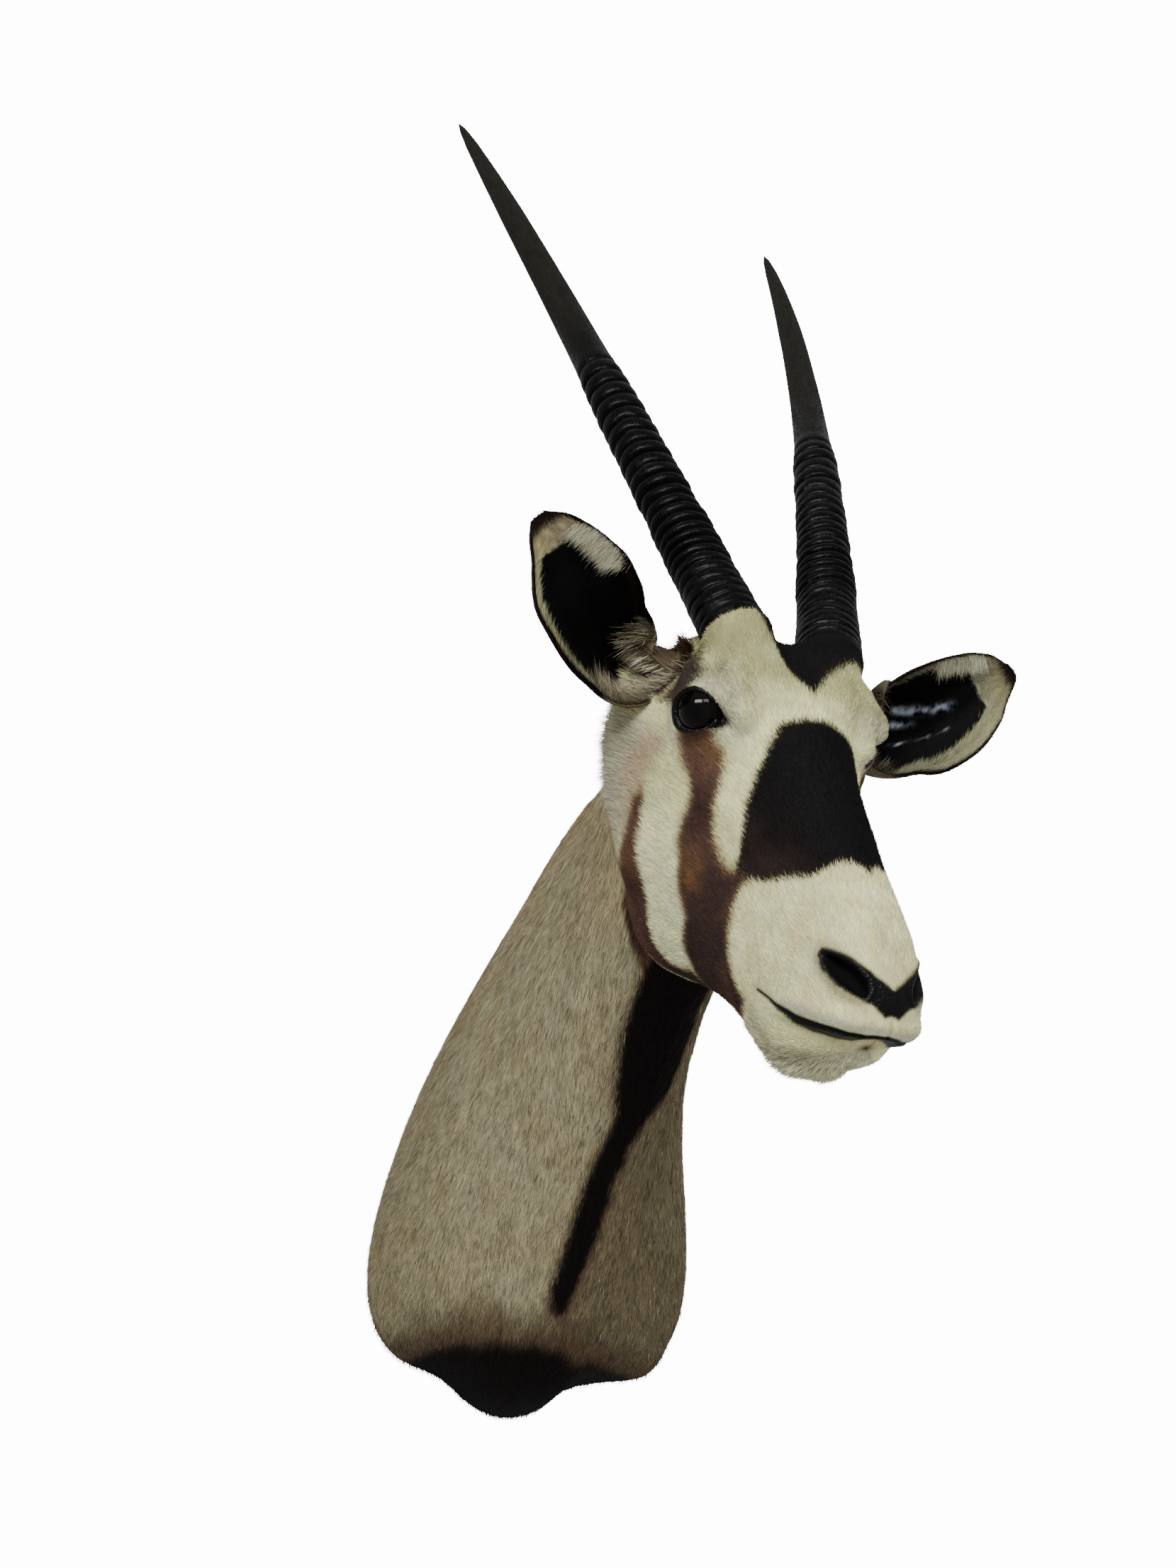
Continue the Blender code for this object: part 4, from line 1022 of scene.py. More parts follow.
def lids(side, word, walked):
    """Both lids as one collar round the eye, from their moist edge out to where they melt into the hide."""
    centre = from_head(EYE_CENTRE[side])
    arc = np.broadcast_to(LID_STEPS[:, None], walked.shape[:2])
    upper = ease(-0.3, 0.6, np.sin(np.radians(LID_TURNS)))[None, :]
    rounding = np.sqrt(np.clip(1 - (1 - np.clip(arc / 0.0013, 0, 1)) ** 2, 0, 1))
    rise = 0.7 * rounding + 0.3 * ease(0.0008, 0.0045, arc)
    on_ball = centre + unit(walked - centre) * (EYE_RADIUS + 0.0003)
    points = mix(on_ball, walked, rise)
    crease = bell(arc, 0.0058, 0.001) * 0.001 * upper + bell(arc, 0.004, 0.0009) * 0.0007 * (1 - upper)
    here, flow, normals = near_skin(walked)
    points = points - normals * (crease + 0.0004 * ease(LID_WIDTH - 0.0012, LID_WIDTH, arc))[..., None]
    mesh = grid_mesh(f"lids_{word}", points, close_start=False, close_end=False)
    here["eye"] = lengths(points - centre)
    colours = coat_colour(here, points, speckle(points, 0.003, 22) * 0.001)
    rough = 0.0006 * speckle(points, 0.003, 23) + 0.0004 * speckle(points, 0.0012, 24)
    black = by_turn(LID_BLACK)[None, :] * LID_BLACK_SHARE[side]
    leather = np.maximum(fade(-0.0006, 0.0006, arc - black + rough), ease(-0.0008, 0.001, here["tear"]))
    colours = mix(colours * 0.75, LEATHER, leather)
    put(f"lids_{word}", mesh, HIDE, "hide", coat=colours.reshape(-1, 3), bare=leather.ravel())
    return points, normals, flow, here, leather


# ---------------------------------------------------------------- horns
HORN_STEPS = ((-HORN_ROOT, 0, 12), (0, 0.385, 400), (0.385, HORN_LENGTH * 0.985, 70),
              (HORN_LENGTH * 0.985, HORN_LENGTH, 10))


def horn_profile(distance, turn, side):
    """The ringed horn's radius at each distance and turn, and how deep in a groove that is."""
    seed = 40 + side
    swirl = np.stack([np.cos(turn), np.sin(turn), distance * 22], -1)

    def uneven(stretch, size, more):
        return speckle(swirl, size, seed + more, stretch)

    pitches = np.linspace(1, RING_PITCH_RATIO, RINGS)
    pitches *= (RINGED_LENGTH - WRINKLED_LENGTH) / pitches.sum()
    wrinkles = np.arange(-3, WRINKLES) * (WRINKLED_LENGTH / WRINKLES)
    starts = np.concatenate([wrinkles, WRINKLED_LENGTH + np.concatenate([[0], np.cumsum(pitches)])])
    sway = (0.0016 * np.cos(turn - 0.4) + 0.0018 * uneven((1, 1, 1), 1.1, 0)
            + 0.0009 * uneven((3, 3, 1.5), 1, 7))
    moved = distance + sway * ease(0, 0.03, distance)
    number = np.clip(np.searchsorted(starts, moved) - 1, 0, len(starts) - 2)
    pitch = starts[number + 1] - starts[number]
    share = np.clip((moved - starts[number]) / pitch, 0, 1)
    to_groove = np.minimum(share, 1 - share) * pitch
    chance = np.random.default_rng(seed)
    strong, tall = chance.uniform(0.55, 1.25, len(starts) + 1), chance.uniform(0.75, 1.25, len(starts))
    strength = np.where(share < 0.5, strong[number], strong[number + 1])
    ringed = ease(WRINKLED_LENGTH - 0.03, WRINKLED_LENGTH + 0.03, distance)
    front = 0.92 + 0.2 * np.cos(turn - pi / 2)
    depth = (0.0011 + 0.0017 * ringed) * front * strength * (0.9 + 0.4 * uneven((1.5, 1.5, 2), 1.3, 3))
    groove = bell(to_groove, 0, 0.0011 + 0.0012 * ringed)
    crest = ((0.0007 + 0.002 * ringed) * np.sin(pi * np.clip(share * 1.08 - 0.04, 0, 1)) ** 0.6
             * (0.75 + 0.5 * share) * tall[number])
    low = 0.0005 * (1 - 0.6 * ringed) * uneven((2, 2, 14), 1, 5)
    radius = np.interp(distance / HORN_LENGTH, *zip(*HORN_SHAPE))
    lump = 1 + 0.012 * np.cos(2 * turn + 0.6) + 0.018 * uneven((1, 1, 0.7), 1.2, 9)
    active = fade(RINGED_LENGTH - 0.045, RINGED_LENGTH + 0.004, distance) * ease(-0.012, 0, distance)
    return radius * lump + active * (crest * 0.9 - groove * depth + low), groove * active


def horn_sheath(side, word):
    """A horn with its wrinkles and rings, from inside the hide to the tip."""
    distances = np.concatenate([np.linspace(start, end, count)[:-1] for start, end, count in HORN_STEPS])
    distances = np.append(distances, HORN_LENGTH)
    middle = horn_path(distances, side)
    tangent = unit(np.gradient(middle, axis=0))
    front = np.array([0, 1.0, 0])
    up = unit(front - tangent * (tangent @ front)[:, None])
    aside = np.cross(up, tangent) * side
    d, t = np.meshgrid(distances, np.linspace(0, 2 * pi, 54, endpoint=False), indexing="ij")
    radius, groove = horn_profile(d, t, side)
    round_it = np.cos(t)[..., None] * aside[:, None] + np.sin(t)[..., None] * up[:, None]
    mesh = grid_mesh(f"horn_sheath_{word}", from_head(middle[:, None] + radius[..., None] * round_it),
                     distances + HORN_ROOT)
    grain = np.stack([np.cos(t), np.sin(t), d * 40], -1)
    put(f"horn_sheath_{word}", mesh, HORN, "horn", f"horn_{word}",
        grain=with_ends(grain, (0, 0, -1), (0, 0, 40)),
        reach=with_ends(d, 0, HORN_LENGTH), groove=with_ends(groove, 0, 0))


# ---------------------------------------------------------------- hair
COARSE_HAIR = 0.00055  # width of the hairs round the ears' roots and in the tuft
WALL_GAP = 0.0005  # no hair's tip comes closer to the wall
HORN_FOOT_RADII = (0.0265, 0.0285)  # the coat begins between these, away from the horn's middle line
EAR_ROOT_MIDDLE = np.array([0.074, -0.07, -0.036])
EAR_ROOT_LINE, EAR_ROOT_RADII = ((0.074, -0.081, -0.05), (0.12, -0.08, -0.045)), (0.017, 0.02)
TUFT_MIDDLE, TUFT_SPREAD = np.array([-0.0655, -0.05, -0.038]), np.array([0.0012, 0.0022, 0.004])
COAT_LENGTHS = ((0, 0.0095), (1.2, 0.0105), (4, 0.0105), (6.5, 0.011), (8, 0.012), (9, 0.0085),
                (10.5, 0.0065), (12, 0.0052), (16, 0.0042), (20, 0.0036))
COATS = (  # name, hairs, v, u, seed, width, lift off the hide, crowding towards the lips
    ("hair_muzzle", 100000, (13.5, 20), (0, 16), 101, 0.00036, 0.22, 1.3),
    ("hair_chin", 7000, (16.3, 19.6), (5.4, 10.6), 108, 0.0009, 0.34, 1),
    ("hair_brow", 150000, (8, 13.5), (0, 16), 102, 0.0004, 0.22, 1),
    ("hair_neck_left", 62000, (0, 8), (1, 7), 103, 0.00066, 0.11, 1),
    ("hair_neck_right", 170000, (0, 8), (9, 15), 104, 0.00048, 0.11, 1),
    ("hair_throat", 70000, (0, 8), (7, 9), 105, 0.00048, 0.11, 1),
    ("hair_nape_left", 14000, (0, 8), (0, 1), 106, 0.0008, 0.15, 1),
    ("hair_nape_right", 16000, (0, 8), (15, 16), 107, 0.00075, 0.15, 1),
)


def hair_mesh(name, roots, normals, lie, length, width, colours, seed):
    """One flat blade of hair from each root, as a triangle that tapers to its tip."""
    chance = np.random.default_rng(seed)
    count = len(roots)
    sideways = unit(np.cross(normals, lie))
    roll = chance.normal(0, 0.35, count)[:, None]
    sideways = unit(sideways * np.cos(roll) + normals * np.sin(roll))
    half = sideways * (width / 2)[:, None]
    foot = roots - normals * 0.0003
    tips = roots + lie * length[:, None]
    tips[:, 1] = np.minimum(tips[:, 1], -WALL_GAP)
    points = np.stack([foot + half, foot - half, tips], 1).reshape(-1, 3)
    cells = int(np.ceil(count ** 0.5))
    corner = np.stack([np.arange(count) % cells, np.arange(count) // cells], -1) / cells
    places = (corner[:, None] + np.array([[0.15, 0.15], [0.85, 0.15], [0.5, 0.85]]) / cells).reshape(-1, 2)
    mesh = make_mesh(name, points, [np.arange(count * 3).reshape(-1, 3)], places)
    # Painted shade: each blade is darker at its root and lighter at its tip.
    shades = np.stack([colours * 0.72, colours * 0.72, colours * 1.12], 1).reshape(-1, 3)
    put(name, mesh, HAIR, "hide", coat=np.clip(shades, 0, 1))


def hair_length(v, s):
    """The coat's length over the hide: short on the face, longer on the poll, neck and chest."""
    return (
        np.interp(v, *zip(*COAT_LENGTHS))
        + 0.006 * ease(7, 7.8, v) * fade(8.4, 9, v) * ease(1.5, 2.2, s) * fade(3.6, 4.4, s)  # behind the ears
        + 0.006 * ease(5.2, 6.6, s) * ease(15, 16.5, v) * fade(18.5, 19.5, v)  # chin
        - 0.0035 * ease(8.6, 9.2, v) * fade(10.2, 11, v) * fade(2.4, 3, s))  # forehead


def grow_coat(name, count, rows, sides, seed, width, lift, crowd):
    """Hair over the part of the hide with v in these rows and u within these sides, crowded on the muzzle."""
    chance = np.random.default_rng(seed)
    i, j = np.meshgrid(np.where((ROWS[:-1] >= rows[0]) & (ROWS[1:] <= rows[1] + 1e-6))[0],
                       np.where((COLUMNS >= sides[0]) & (COLUMNS < sides[1]))[0], indexing="ij")
    k = (j + 1) % len(COLUMNS)
    a, b, c, d = skin[i, j], skin[i + 1, j], skin[i + 1, k], skin[i, k]
    area = (lengths(np.cross(b - a, d - a)) + lengths(np.cross(b - c, d - c))) / 2
    thick = (np.interp(ROWS, [9, 20], [1, crowd])[i] * fade(-0.0015, 0.001, bareness(fields)[i, j])
             * ease(*HORN_FOOT_RADII, fields["horn"][i, j]) * (fields["hollow"][i, j] < 0.6)
             * fade(0, 0.3, ear_cover[i, j]))
    cell = picked_cells(chance, area * thick, count)
    i, j, k = i.ravel()[cell], j.ravel()[cell], k.ravel()[cell]
    p, q = chance.random(count), chance.random(count)
    spots, normals, flow = (between_corners(grid, i, j, k, p, q) for grid in (skin, skin_normals, skin_flow))
    here = {key: between_corners(field, i, j, k, p, q) for key, field in fields.items()}
    place_hairs(name, spots, unit(normals), unit(flow), here, chance, seed, width, lift)


def place_hairs(name, spots, normals, flow, here, chance, seed, width, lift, scale=1.0):
    """Lays, colours and sizes the coat's hairs at these places, in clumps and with some that stray."""
    def stray(spread):
        return chance.normal(0, spread, len(spots))

    clump = speckle(spots, 0.012, seed + 1)
    swirl = speckle(spots, 0.06, seed + 2) * 0.12 + clump * 0.1 + stray(0.11)
    rise = np.clip(lift + 0.05 * clump + stray(0.05), 0.04, 0.9)
    lie = flow * np.cos(swirl)[:, None] + np.cross(normals, flow) * np.sin(swirl)[:, None]
    lie = unit(lie * np.cos(rise)[:, None] + normals * np.sin(rise)[:, None])
    length = hair_length(here["v"], here["s"]) * np.clip(1 + stray(0.16) + 0.15 * clump, 0.4, 1.6) * scale
    length = length * (0.4 + 0.6 * ease(0.001, 0.01, -np.maximum(here["lips"], here["nose"])))
    colours = coat_colour(here, spots, stray(0.0012) + 0.0014 * clump)
    neck = fade(8.2, 9.6, here["v"])
    streak = speckle(spots, 0.0045, seed + 3, (1, 1, 0.16))
    strand = speckle(to_head(spots), 0.003, seed + 4, (1, 1, 0.35))
    tone = 1 + stray(0.12) + neck * (stray(0.08) + 0.2 * streak) + (1 - neck) * (0.08 * clump + 0.15 * strand)
    near_eye = fade(0.028, 0.05, here["eye"]) * fade(1.7, 2.1, here["s"])
    dark = (chance.random(len(spots)) < 0.1 + 0.12 * neck + 0.22 * near_eye) * (1 + 0.5 * near_eye)
    colours = colours * (tone * (1 - 0.42 * dark))[:, None]
    pale = (chance.random(len(spots)) < 0.04) * (colours.mean(1) > 0.14)
    stout = (dark > 0) * neck * (chance.random(len(spots)) < 0.35)
    width = width * (0.8 + 0.4 * chance.random(len(spots))) * (1 + 0.9 * stout)
    colours = mix(colours, TUFT, pale * 0.5) * (1 - 0.45 * stout)[:, None]
    hair_mesh(name, spots, normals, lie, length * (1 + 0.25 * stout), width, np.clip(colours, 0, 1), seed + 5)


def lid_hair(roots):
    """Fine short hair on the lids, thinning out at their bare edges."""
    chance = np.random.default_rng(120)
    parts = []
    for points, outward, lie, near, leather in roots:
        cells = np.argwhere(leather < 0.35)
        picked = cells[chance.integers(0, len(cells), 5500)]
        i, j = np.minimum(picked[:, 0], points.shape[0] - 2), picked[:, 1]
        p, q = chance.random(len(i)), chance.random(len(i))
        spots = between_corners(points, i, j, (j + 1) % points.shape[1], p, q)
        parts.append((spots, outward[i, j], lie[i, j], *(field[i, j] for field in near.values())))
    spots, normals, flow, *values = stacked(parts)
    here = dict(zip(roots[0][3], values))
    here["v"] = np.maximum(here["v"], 9.0)
    flow = unit(flow - normals * (flow * normals).sum(1, keepdims=True))
    place_hairs("hair_lids", spots, normals, flow, here, chance, 121, 0.00034, 0.18, 0.55)


# ---------------------------------------------------------------- ears
# Folds in the left ear's cup: share of the length and place across, at the start and the end, and width.
FOLDS = ((0.44, -0.26, 0.74, 0.1, 0.0036), (0.43, -0.02, 0.56, 0.08, 0.0024),
         (0.42, 0.26, 0.68, 0.36, 0.0008))
ROOT_DROP = ((0, 0.026), (0.14, 0.026), (0.22, 0.021), (0.3, 0.013), (0.4, 0))  # upper rim, along the ear
# The ears' leaves are darkened by these shares; the left ear's much lower share is painted shade.
CUP_TO_TIP, EAR_TONE_AND_SHADE = {1: 0.034, -1: 0.026}, {1: 0.42, -1: 0.8}
EAR_HAIR = (  # kind, inside the cup or not, hairs, length, lift off the leaf, lean towards the rim, width
    ("back", 0, 9000, 0.004, 0.1, 0.05, 0.00042), ("band", 1, 11000, 0.006, 0.2, 0.15, 0.00042),
    ("ragged", 1, 3200, 0.0085, 0.3, -0.7, 0.00042), ("cup", 1, 3000, 0.0035, 0.3, 0.3, 0.00042),
    ("fringe", 1, 1500, 0.012, 0.4, -1.2, 0.00042), ("tuft", 1, 4200, 0.016, 0.45, 0, 0.00075),
)


def ear_bands(side, share):
    """How wide the pale band is below and above the ear's black cup, along the ear."""
    lower = np.interp(share, [0, 0.2, 0.34, 0.5, 0.8, 1], [0.016, 0.016, 0.015, 0.0148, 0.0155, 0.016])
    if side > 0:
        return (lower + 0.003 * ease(0.5, 0.7, share),
                np.interp(share, [0, 0.3, 0.46, 0.62, 0.84, 1], [0.016, 0.011, 0.003, 0.005, 0.013, 0.016]))
    return lower, np.interp(share, [0, 0.3, 0.42, 0.7, 0.76, 0.9, 1],
                            [0.016, 0.011, 0.003, 0.001, 0.008, 0.012, 0.013])


def ear_grid(side):
    """An ear's leaf as if on the left: its middle sheet, the way into its cup, and measures over it."""
    points = np.array([row[0] for row in EAR_ROWS[side]])
    sizes = np.array([row[1:] for row in EAR_ROWS[side]])
    marks = np.concatenate([[0], np.cumsum(np.linalg.norm(np.diff(points, axis=0), axis=1))])
    steps = np.concatenate([np.linspace(0, marks[-2], 106), np.linspace(marks[-2], marks[-1], 6)[1:]])

    def through(values):
        """A smooth curve through the rows' values."""
        slopes = np.gradient(values, marks, axis=0)
        k = np.clip(np.searchsorted(marks, steps, side="right") - 1, 0, len(marks) - 2)
        h = (marks[k + 1] - marks[k])[:, None]
        t = (steps - marks[k])[:, None] / h
        return ((2 * t ** 3 - 3 * t ** 2 + 1) * values[k] + (t ** 3 - 2 * t ** 2 + t) * h * slopes[k]
                + (-2 * t ** 3 + 3 * t ** 2) * values[k + 1] + (t ** 3 - t ** 2) * h * slopes[k + 1])

    middle, size = through(points), through(sizes)
    radius, curl = np.maximum(size[:, 0], 0.002), np.radians(size[:, 1])
    along = unit(np.gradient(middle, axis=0))
    for _ in range(6):
        along[1:-1] = unit(along[:-2] + 2 * along[1:-1] + along[2:])
    facing = unit(EAR_FACING - along * (along @ EAR_FACING)[:, None])
    across = np.cross(along, facing)
    c = np.linspace(-1, 1, 65)  # from the ear's upper rim to its lower one
    turn = curl[:, None] * c[None, :]
    sheet = middle[:, None] + radius[:, None, None] * (
        across[:, None] * np.sin(turn)[..., None] + facing[:, None] * (1 - np.cos(turn))[..., None])
    inward = facing[:, None] * np.cos(turn)[..., None] - across[:, None] * np.sin(turn)[..., None]
    half, whole = (radius * curl)[:, None], np.ones_like(turn)
    share, tip = (steps / marks[-1])[:, None] * whole, (marks[-1] - steps)[:, None] * whole
    drop = np.interp(share, *zip(*ROOT_DROP)) * ease(0, 1, -c)[None, :]
    sheet = sheet + drop[..., None] * np.array([-0.22, -0.7, 0.68])
    lower, upper = ear_bands(side, share)
    fold = np.zeros_like(turn)
    for start, low, end, high, width in FOLDS if side > 0 else ():
        away = (c[None, :] - np.interp(share, [start, end], [low, high])) * half
        fold += (bell(away, 0, width) * ease(start - 0.02, start + 0.05, share)
                 * fade(end - 0.08, end + 0.01, share))
    upper_rim = np.interp(share, [0.4, 0.48, 0.72, 0.8], [0.0034, 0.0068, 0.0068, 0.0034])
    dark = 0.0018 * whole if side > 0 else np.where(c > 0, 0.0034, upper_rim)
    measures = {
        "rim": joined((1 - np.abs(c))[None, :] * half, tip * 0.9, 0.004),
        "black": np.minimum(np.minimum((1 - c)[None, :] * half - lower, (1 + c)[None, :] * half - upper),
                            tip - CUP_TO_TIP[side]),
        "dark": dark * ease(0.34, 0.42, share), "upper": ease(-0.1, 0.1, -c)[None, :] * whole,
        "tip": tip, "share": share, "fold": fold, "tone": EAR_TONE_AND_SHADE[side] * whole,
    }
    return sheet, inward, measures, c


def ear_colour(m, inside, noise):
    """Black in the cup, a pale band and a dark rim round it, a dark tip, and a fawn back."""
    share, rim = m["share"], m["rim"]
    back = layered(
        FAWN,
        (GREY, 0.5 + 0.3 * noise),
        (FAWN_BROWN, 0.6 * fade(0.1, 0.45, share)),
        (RED_BROWN * 0.8, 0.85 * m["upper"] * fade(0.22, 0.5, share)))
    cup = layered(
        CREAM,
        (GREY, np.clip(0.35 + 0.65 * m["upper"] + 0.3 * noise + 0.35 * fade(0.4, 0.75, share), 0, 1)),
        (paint(150, 138, 116) * (0.7 + 0.3 * noise[..., None]), 0.9 * fade(0.22, 0.46, share)),
        (paint(176, 152, 112), 0.55 * fade(0.018, 0.034, m["tip"])),
        (LEATHER, ease(-0.0012, 0.0016, m["black"] + 0.0022 * noise)),
        # Painted highlight: pale bluish streaks along the left ear's glossy folds.
        (paint(168, 176, 190) * 2.2, np.clip(m["fold"] * (0.15 + 1.7 * noise), 0, 0.9)))
    # The tone darkens the whole leaf; on the left ear it is painted shade.
    leaf, beyond_root = mix(back, cup, inside) * m["tone"][..., None], ease(0.32, 0.4, share)
    colour = layered(
        leaf,
        (FAWN_DARK * 0.7, fade(0.0005, 0.004, rim) * (1 - beyond_root)),
        (BLACK_BROWN, fade(-0.0002, 0.0016, rim - m["dark"] + 0.0008 * noise) * beyond_root),
        (BLACK_BROWN, fade(0.008, 0.015, m["tip"] + 0.002 * noise)))
    return np.clip(colour, 0, 1)


def ear(side, word):
    """An ear's leaf with its two faces, and then its hair."""
    sheet, inward, measures, c = ear_grid(side)
    share = measures["share"]
    ripple = 0.0008 * np.cos(c * 14)[None, :] * ease(0.25, 0.5, share) * ease(0.004, 0.014, measures["rim"])
    ripple = ripple + 0.0009 * measures["fold"]
    wave = 0.0012 * np.sin(share * 9 + 1) * (np.abs(c) ** 3)[None, :]
    half = 0.0004 + 0.0012 * np.sqrt(np.clip(measures["rim"] / 0.006, 0, 1))
    sheet = sheet + inward * wave[..., None]
    inner, outer = sheet + inward * (half + ripple)[..., None], sheet - inward * half[..., None]
    world = from_head(mirrored(np.concatenate([inner, outer[:, ::-1]], axis=1), side))
    mesh = grid_mesh(f"ear_leaf_{word}", world)
    noise = speckle(world, 0.006, 60 + side) * 0.6 + speckle(world, 0.0025, 64 + side) * 0.4
    ring = {name: np.concatenate([field, field[:, ::-1]], 1) for name, field in measures.items()}
    inside = np.concatenate([np.ones_like(share), np.zeros_like(share)], 1)
    colours = ear_colour(ring, inside, noise)
    coat = with_ends(colours * 0.8, colours.mean((0, 1)), BLACK_BROWN)
    gloss = with_ends(np.clip(ring["fold"], 0, 1) * inside, 0, 0)
    put(f"ear_leaf_{word}", mesh, EAR, "hide", coat=coat, gloss=gloss)
    ear_hair(side, word, sheet, inward, measures, c)


def ear_hair_places(share, black, c):
    """Where each kind of hair grows on an ear's sheet."""
    return {
        "back": ease(0.04, 0.08, share),
        "band": ease(0.08, 0.14, share) * ease(-0.0015, 0.001, -black),
        "ragged": ease(0.3, 0.36, share) * bell(black, -0.0015, 0.0025),
        "cup": ease(0, 0.002, black),
        "fringe": ease(0.7, 0.76, share) * fade(0.88, 0.92, share) * ease(0.7, 0.8, -c)[None, :],
        "tuft": ease(0.05, 0.1, share) * fade(0.28, 0.4, share) * ease(0.3, 0.7, np.abs(c)[None, :]),
    }


def ear_hair(side, word, sheet, inward, measures, c):
    """Short hair over the ear's back and rim, ragged hair round its black cup, and tufts at its root."""
    chance = np.random.default_rng(70 + side)
    flow_along, flow_across = np.gradient(sheet, axis=0), np.gradient(sheet, axis=1)
    area = lengths(np.cross(flow_along, flow_across))
    places, found = ear_hair_places(measures["share"], measures["black"], c), []
    for kind, inside, count, length, lift, lean, width in EAR_HAIR:
        cell = picked_cells(chance, area * places[kind], count)
        i, j = np.unravel_index(np.minimum(cell, area.size - 1), area.shape)
        i, j = np.minimum(i, area.shape[0] - 2), np.minimum(j, len(c) - 2)
        p, q = chance.random(count), chance.random(count)
        face, spots, along, outward = (between_corners(grid, i, j, j + 1, p, q)
                                       for grid in (inward, sheet, flow_along, flow_across))
        face = unit(face if inside else -face)
        spots = spots + face * 0.0013
        outward = unit(outward) * np.sign(c[j])[:, None]
        if kind == "tuft":
            lean = chance.uniform(-0.9, 0.2, (count, 1))
        lie = (unit(along) * (-0.4 if kind == "fringe" else 1.0) + outward * lean
               + chance.normal(0, 0.22, (count, 3)))
        rise = np.clip(lift + chance.normal(0, 0.12, count), 0.02, 1.1)[:, None]
        lie = unit(lie - face * (lie * face).sum(1, keepdims=True))
        lie = unit(lie * np.cos(rise) + face * np.sin(rise))
        noise = speckle(spots, 0.005, 81) + chance.normal(0, 0.35, count)
        here = {name: between_corners(field, i, j, j + 1, p, q) for name, field in measures.items()}
        if kind == "ragged":
            here["black"] = here["black"] - 0.006
        colours = ear_colour(here, np.full(count, float(inside)), noise)
        if kind == "tuft":
            shades = chance.random(count)
            colours = (mix(FAWN_DARK * 0.7, TUFT * 1.05, shades) if side < 0
                       else mix(BLACK_BROWN, FAWN, shades ** 3) * 0.7)
        if kind == "fringe":
            colours = mix(GREY, WHITE, chance.random(count) * 0.5) * 0.8
        colours = colours * (1 + chance.normal(0, 0.14, count))[:, None]
        near_tip = 0.45 + 0.55 * ease(0, 0.02, here["tip"])
        sizes = length * np.clip(1 + chance.normal(0, 0.25, count), 0.3, 1.8) * near_tip
        if kind == "back":
            sizes = sizes + 0.01 * fade(0.14, 0.4, here["share"])
        found.append((from_head(mirrored(spots, side)), mirrored(face, side) @ HEAD_AXES,
                      mirrored(lie, side) @ HEAD_AXES, sizes, np.full(count, width), np.clip(colours, 0, 1)))
    hair_mesh(f"hair_ear_{word}", *stacked(found), 90 + side)


def root_hair():
    """Longer hair that hides the ears' roots, brown in front and cream and grey below."""
    chance = np.random.default_rng(130)
    count, found = 3200, []
    out = np.array([1.0, -0.05, 0.05])
    facing = unit(EAR_FACING)
    axis = unit(out - facing * (facing @ out))
    across = np.cross(axis, facing)
    for side in (1, -1):
        turn = chance.uniform(0, 2 * pi, count)
        around = np.cos(turn)[:, None] * facing + np.sin(turn)[:, None] * across
        wanted = EAR_ROOT_MIDDLE + around * chance.uniform(0.023, 0.032, count)[:, None]
        near = [skin_points.find(Vector(p))[1] for p in from_head(mirrored(wanted, side))]
        spots, normals = skin.reshape(-1, 3)[near], skin_normals.reshape(-1, 3)[near]
        spots = spots + chance.normal(0, 0.0012, (count, 3))
        lie = (axis * 0.9 + around * chance.uniform(-0.25, 0.35, count)[:, None]
               + chance.normal(0, 0.16, (count, 3)))
        up = around @ unit(np.array([-0.22, 0.7, -0.68]))
        front = ease(-0.2, 0.5, up + 0.3 * speckle(spots, 0.006, 131))
        shades = chance.random(count)
        colours = mix(mix(FAWN_DARK * 0.8, TUFT, shades), mix(BLACK_BROWN, RED_BROWN, shades), front)
        # Painted shade: the left ear's root hair is painted darker than the right's.
        colours = colours * (0.6 if side > 0 else 1.0)
        found.append((spots, normals, unit(mirrored(lie, side) @ HEAD_AXES),
                      chance.uniform(0.007, 0.016, count), np.full(count, COARSE_HAIR), colours))
    hair_mesh("hair_ear_roots", *stacked(found), 132)


def foot_tuft():
    """A small dark tuft that stands out beside the right horn's foot."""
    chance = np.random.default_rng(140)
    count = 260
    spots = from_head(TUFT_MIDDLE + chance.normal(0, 1, (count, 3)) * TUFT_SPREAD)
    lie = unit(np.array([-0.62, -0.15, 0.7]) + chance.normal(0, 0.2, (count, 3)))
    normals = np.broadcast_to(unit(np.array([-0.7, -0.5, 0.4])), spots.shape)
    colours = BLACK_BROWN + (RED_BROWN - BLACK_BROWN) * chance.random((count, 1)) ** 2
    length = chance.uniform(0.007, 0.014, count)
    hair_mesh("hair_foot_tuft", spots, normals, lie, length, np.full(count, COARSE_HAIR), colours, 141)


def hair_flow():
    """The way the coat lies: back from the nose over the head, and more and more straight down the neck."""
    back = -unit(np.gradient(skin, axis=0))
    down = np.array([0, 0, -1.0]) + skin_normals * skin_normals[..., 2:3]
    return unit(back + down * (1.1 * fade(6.0, 8.5, ROWS))[:, None, None])


def ear_cover_field():
    """How much of the hide lies inside an ear's root."""
    cover = np.zeros(skin.shape[:2])
    for side in (1, -1):
        root = tube(mirrored(skin_in_head, side), EAR_ROOT_LINE, EAR_ROOT_RADII)
        cover = np.maximum(cover, ease(0, 0.004, -root))
    return cover


skin_flow = hair_flow()
ear_cover = ear_cover_field()
skin_points = point_tree(skin)


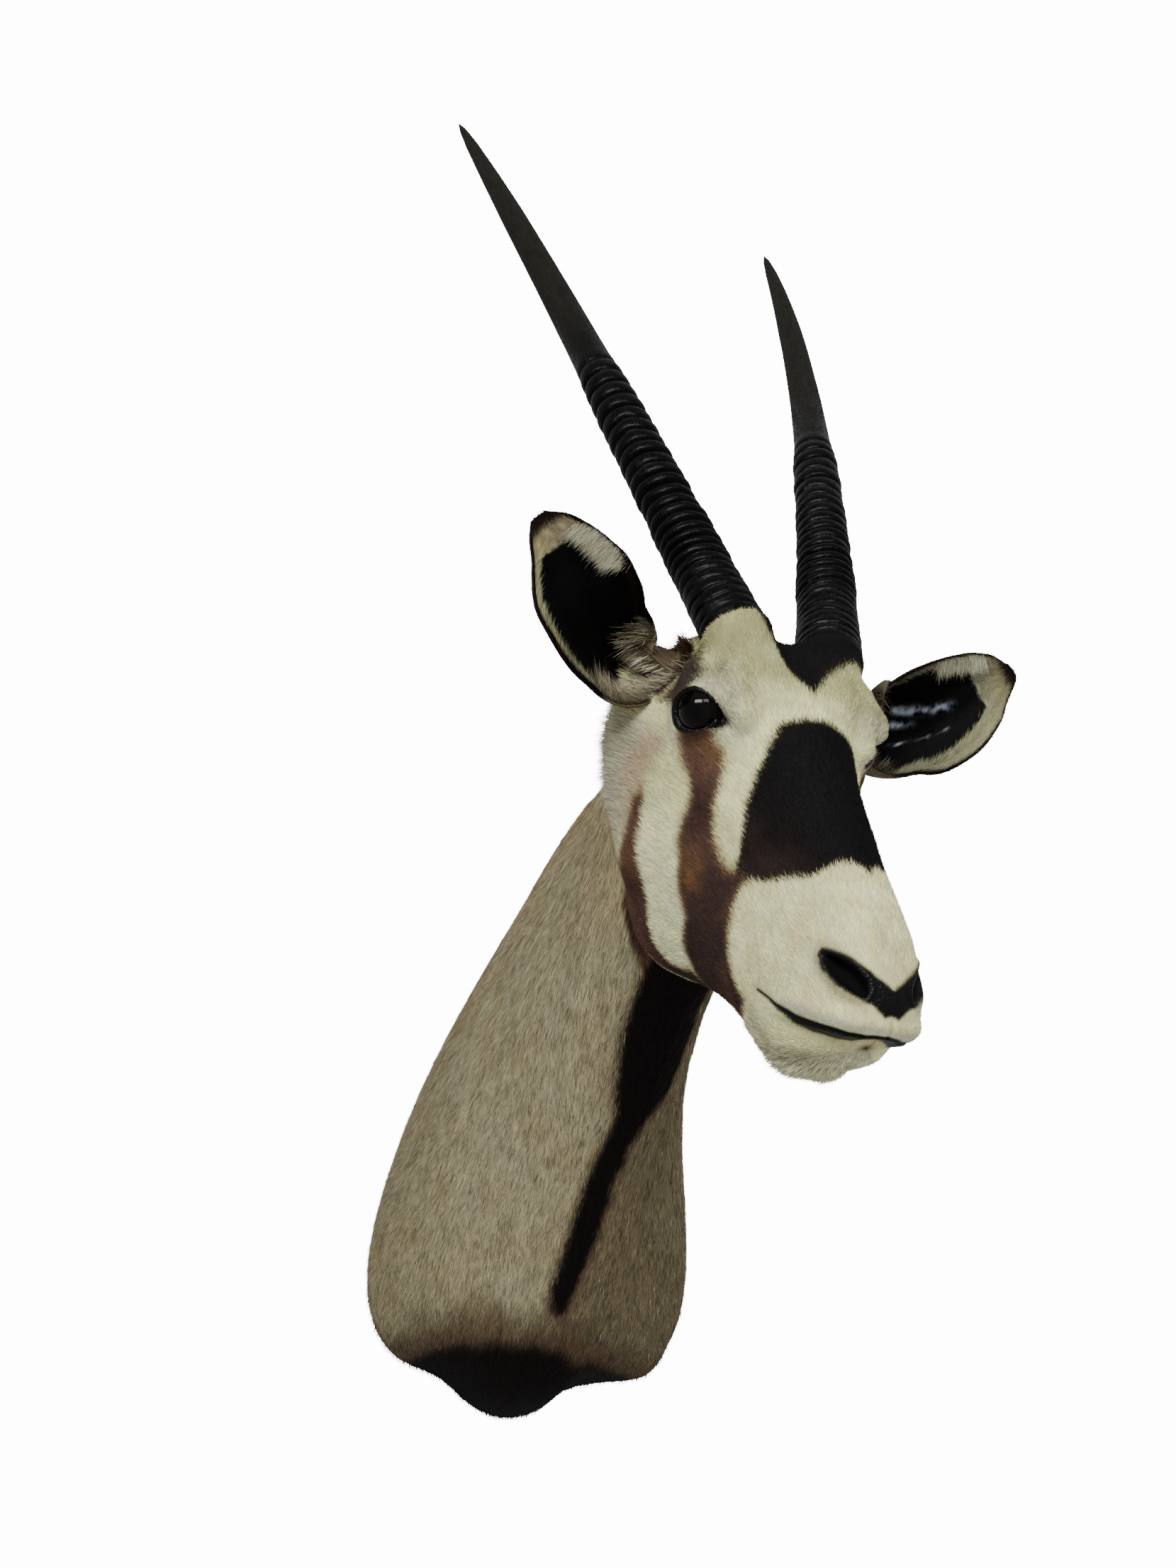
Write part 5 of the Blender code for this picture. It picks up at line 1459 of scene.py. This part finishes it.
# ---------------------------------------------------------------- assembly
def dress_mount():
    tree = BVHTree.FromPolygons(skin.reshape(-1, 3).tolist(), grid_quads(*skin.shape[:2])[0].tolist())
    collars = {side: lid_surface(side, tree) for side in (1, -1)}
    shape, fields["hollow"] = dented(collars)
    dress_hide(shape)
    lid_roots = []
    for side, word in ((1, "left"), (-1, "right")):
        glass_eye(side, word)
        lid_roots.append(lids(side, word, collars[side]))
        horn_sheath(side, word)
        ear(side, word)
    lid_hair(lid_roots)
    foot_tuft()
    root_hair()
    for coat in COATS:
        grow_coat(*coat)


def dress_back():
    """Plywood on the board and steel on the hanger."""
    plywood, steel = plywood_finish(), steel_finish()
    for node, finish in (("back_board", plywood), ("hanger_plate", steel),
                         ("hanger_screw_left", steel), ("hanger_screw_right", steel)):
        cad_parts[node].data.materials.clear()
        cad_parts[node].data.materials.append(finish)


# ---------------------------------------------------------------- lights and camera
LAMPS = (  # name, place, aim, size, height, power, seen in gloss
    ("key", (-1.5, -2.6, 1.6), (0, -0.4, 0.3), 1.5, 0.7, 108, True),
    ("window", (-0.1, -3.1, 1.75), (0, -0.4, 0.3), 1.0, 0.7, 26, True),
    ("fill", (0.9, -2.9, -0.5), (0, -0.5, 0.1), 1.6, 1.6, 36, False),
)
SKY_LIGHT, SKY_SEEN = 0.5, 14.0  # the background's strength as a light, and as seen by the camera
CAMERA_PLACE, CAMERA_LENS = (-0.291, -1.564, 0.0), 31.47
HEADING, PITCH, ROLL = radians(11), radians(14), radians(5)


def area_light(name, place, aim, size, height, power, glossy):
    data = bpy.data.lights.new(name, "AREA")
    data.shape, data.size, data.size_y, data.energy = "RECTANGLE", size, height, power
    lamp = bpy.data.objects.new(name, data)
    bpy.context.scene.collection.objects.link(lamp)
    lamp.location, lamp.visible_glossy = place, glossy
    lamp.rotation_euler = (Vector(aim) - Vector(place)).to_track_quat("-Z", "Y").to_euler()


def lights():
    world = bpy.data.worlds.new("studio")
    bpy.context.scene.world = world
    world.use_nodes = True
    background = world.node_tree.nodes["Background"]
    background.inputs["Color"].default_value = (1, 1, 1, 1)
    seen = world.node_tree.nodes.new("ShaderNodeLightPath")
    strength = world.node_tree.nodes.new("ShaderNodeMapRange")  # brighter to look at than to light by
    strength.inputs["To Min"].default_value, strength.inputs["To Max"].default_value = SKY_LIGHT, SKY_SEEN
    world.node_tree.links.new(seen.outputs["Is Camera Ray"], strength.inputs["Value"])
    world.node_tree.links.new(strength.outputs[0], background.inputs["Strength"])
    for lamp in LAMPS:
        area_light(*lamp)


def camera():
    data = bpy.data.cameras.new("camera")
    data.sensor_width, data.lens, data.clip_end = 36.0, CAMERA_LENS, 60
    made = bpy.data.objects.new("camera", data)
    bpy.context.scene.collection.objects.link(made)
    ahead = Vector((sin(HEADING) * cos(PITCH), cos(HEADING) * cos(PITCH), sin(PITCH)))
    level = Vector((cos(HEADING), -sin(HEADING), 0))
    right = level * cos(ROLL) + level.cross(ahead) * sin(ROLL)
    turned = Matrix((right, right.cross(ahead), -ahead)).transposed().to_4x4()
    turned.translation = CAMERA_PLACE
    made.matrix_world = turned
    bpy.context.scene.camera = made


dress_mount()
dress_back()
lights()
camera()
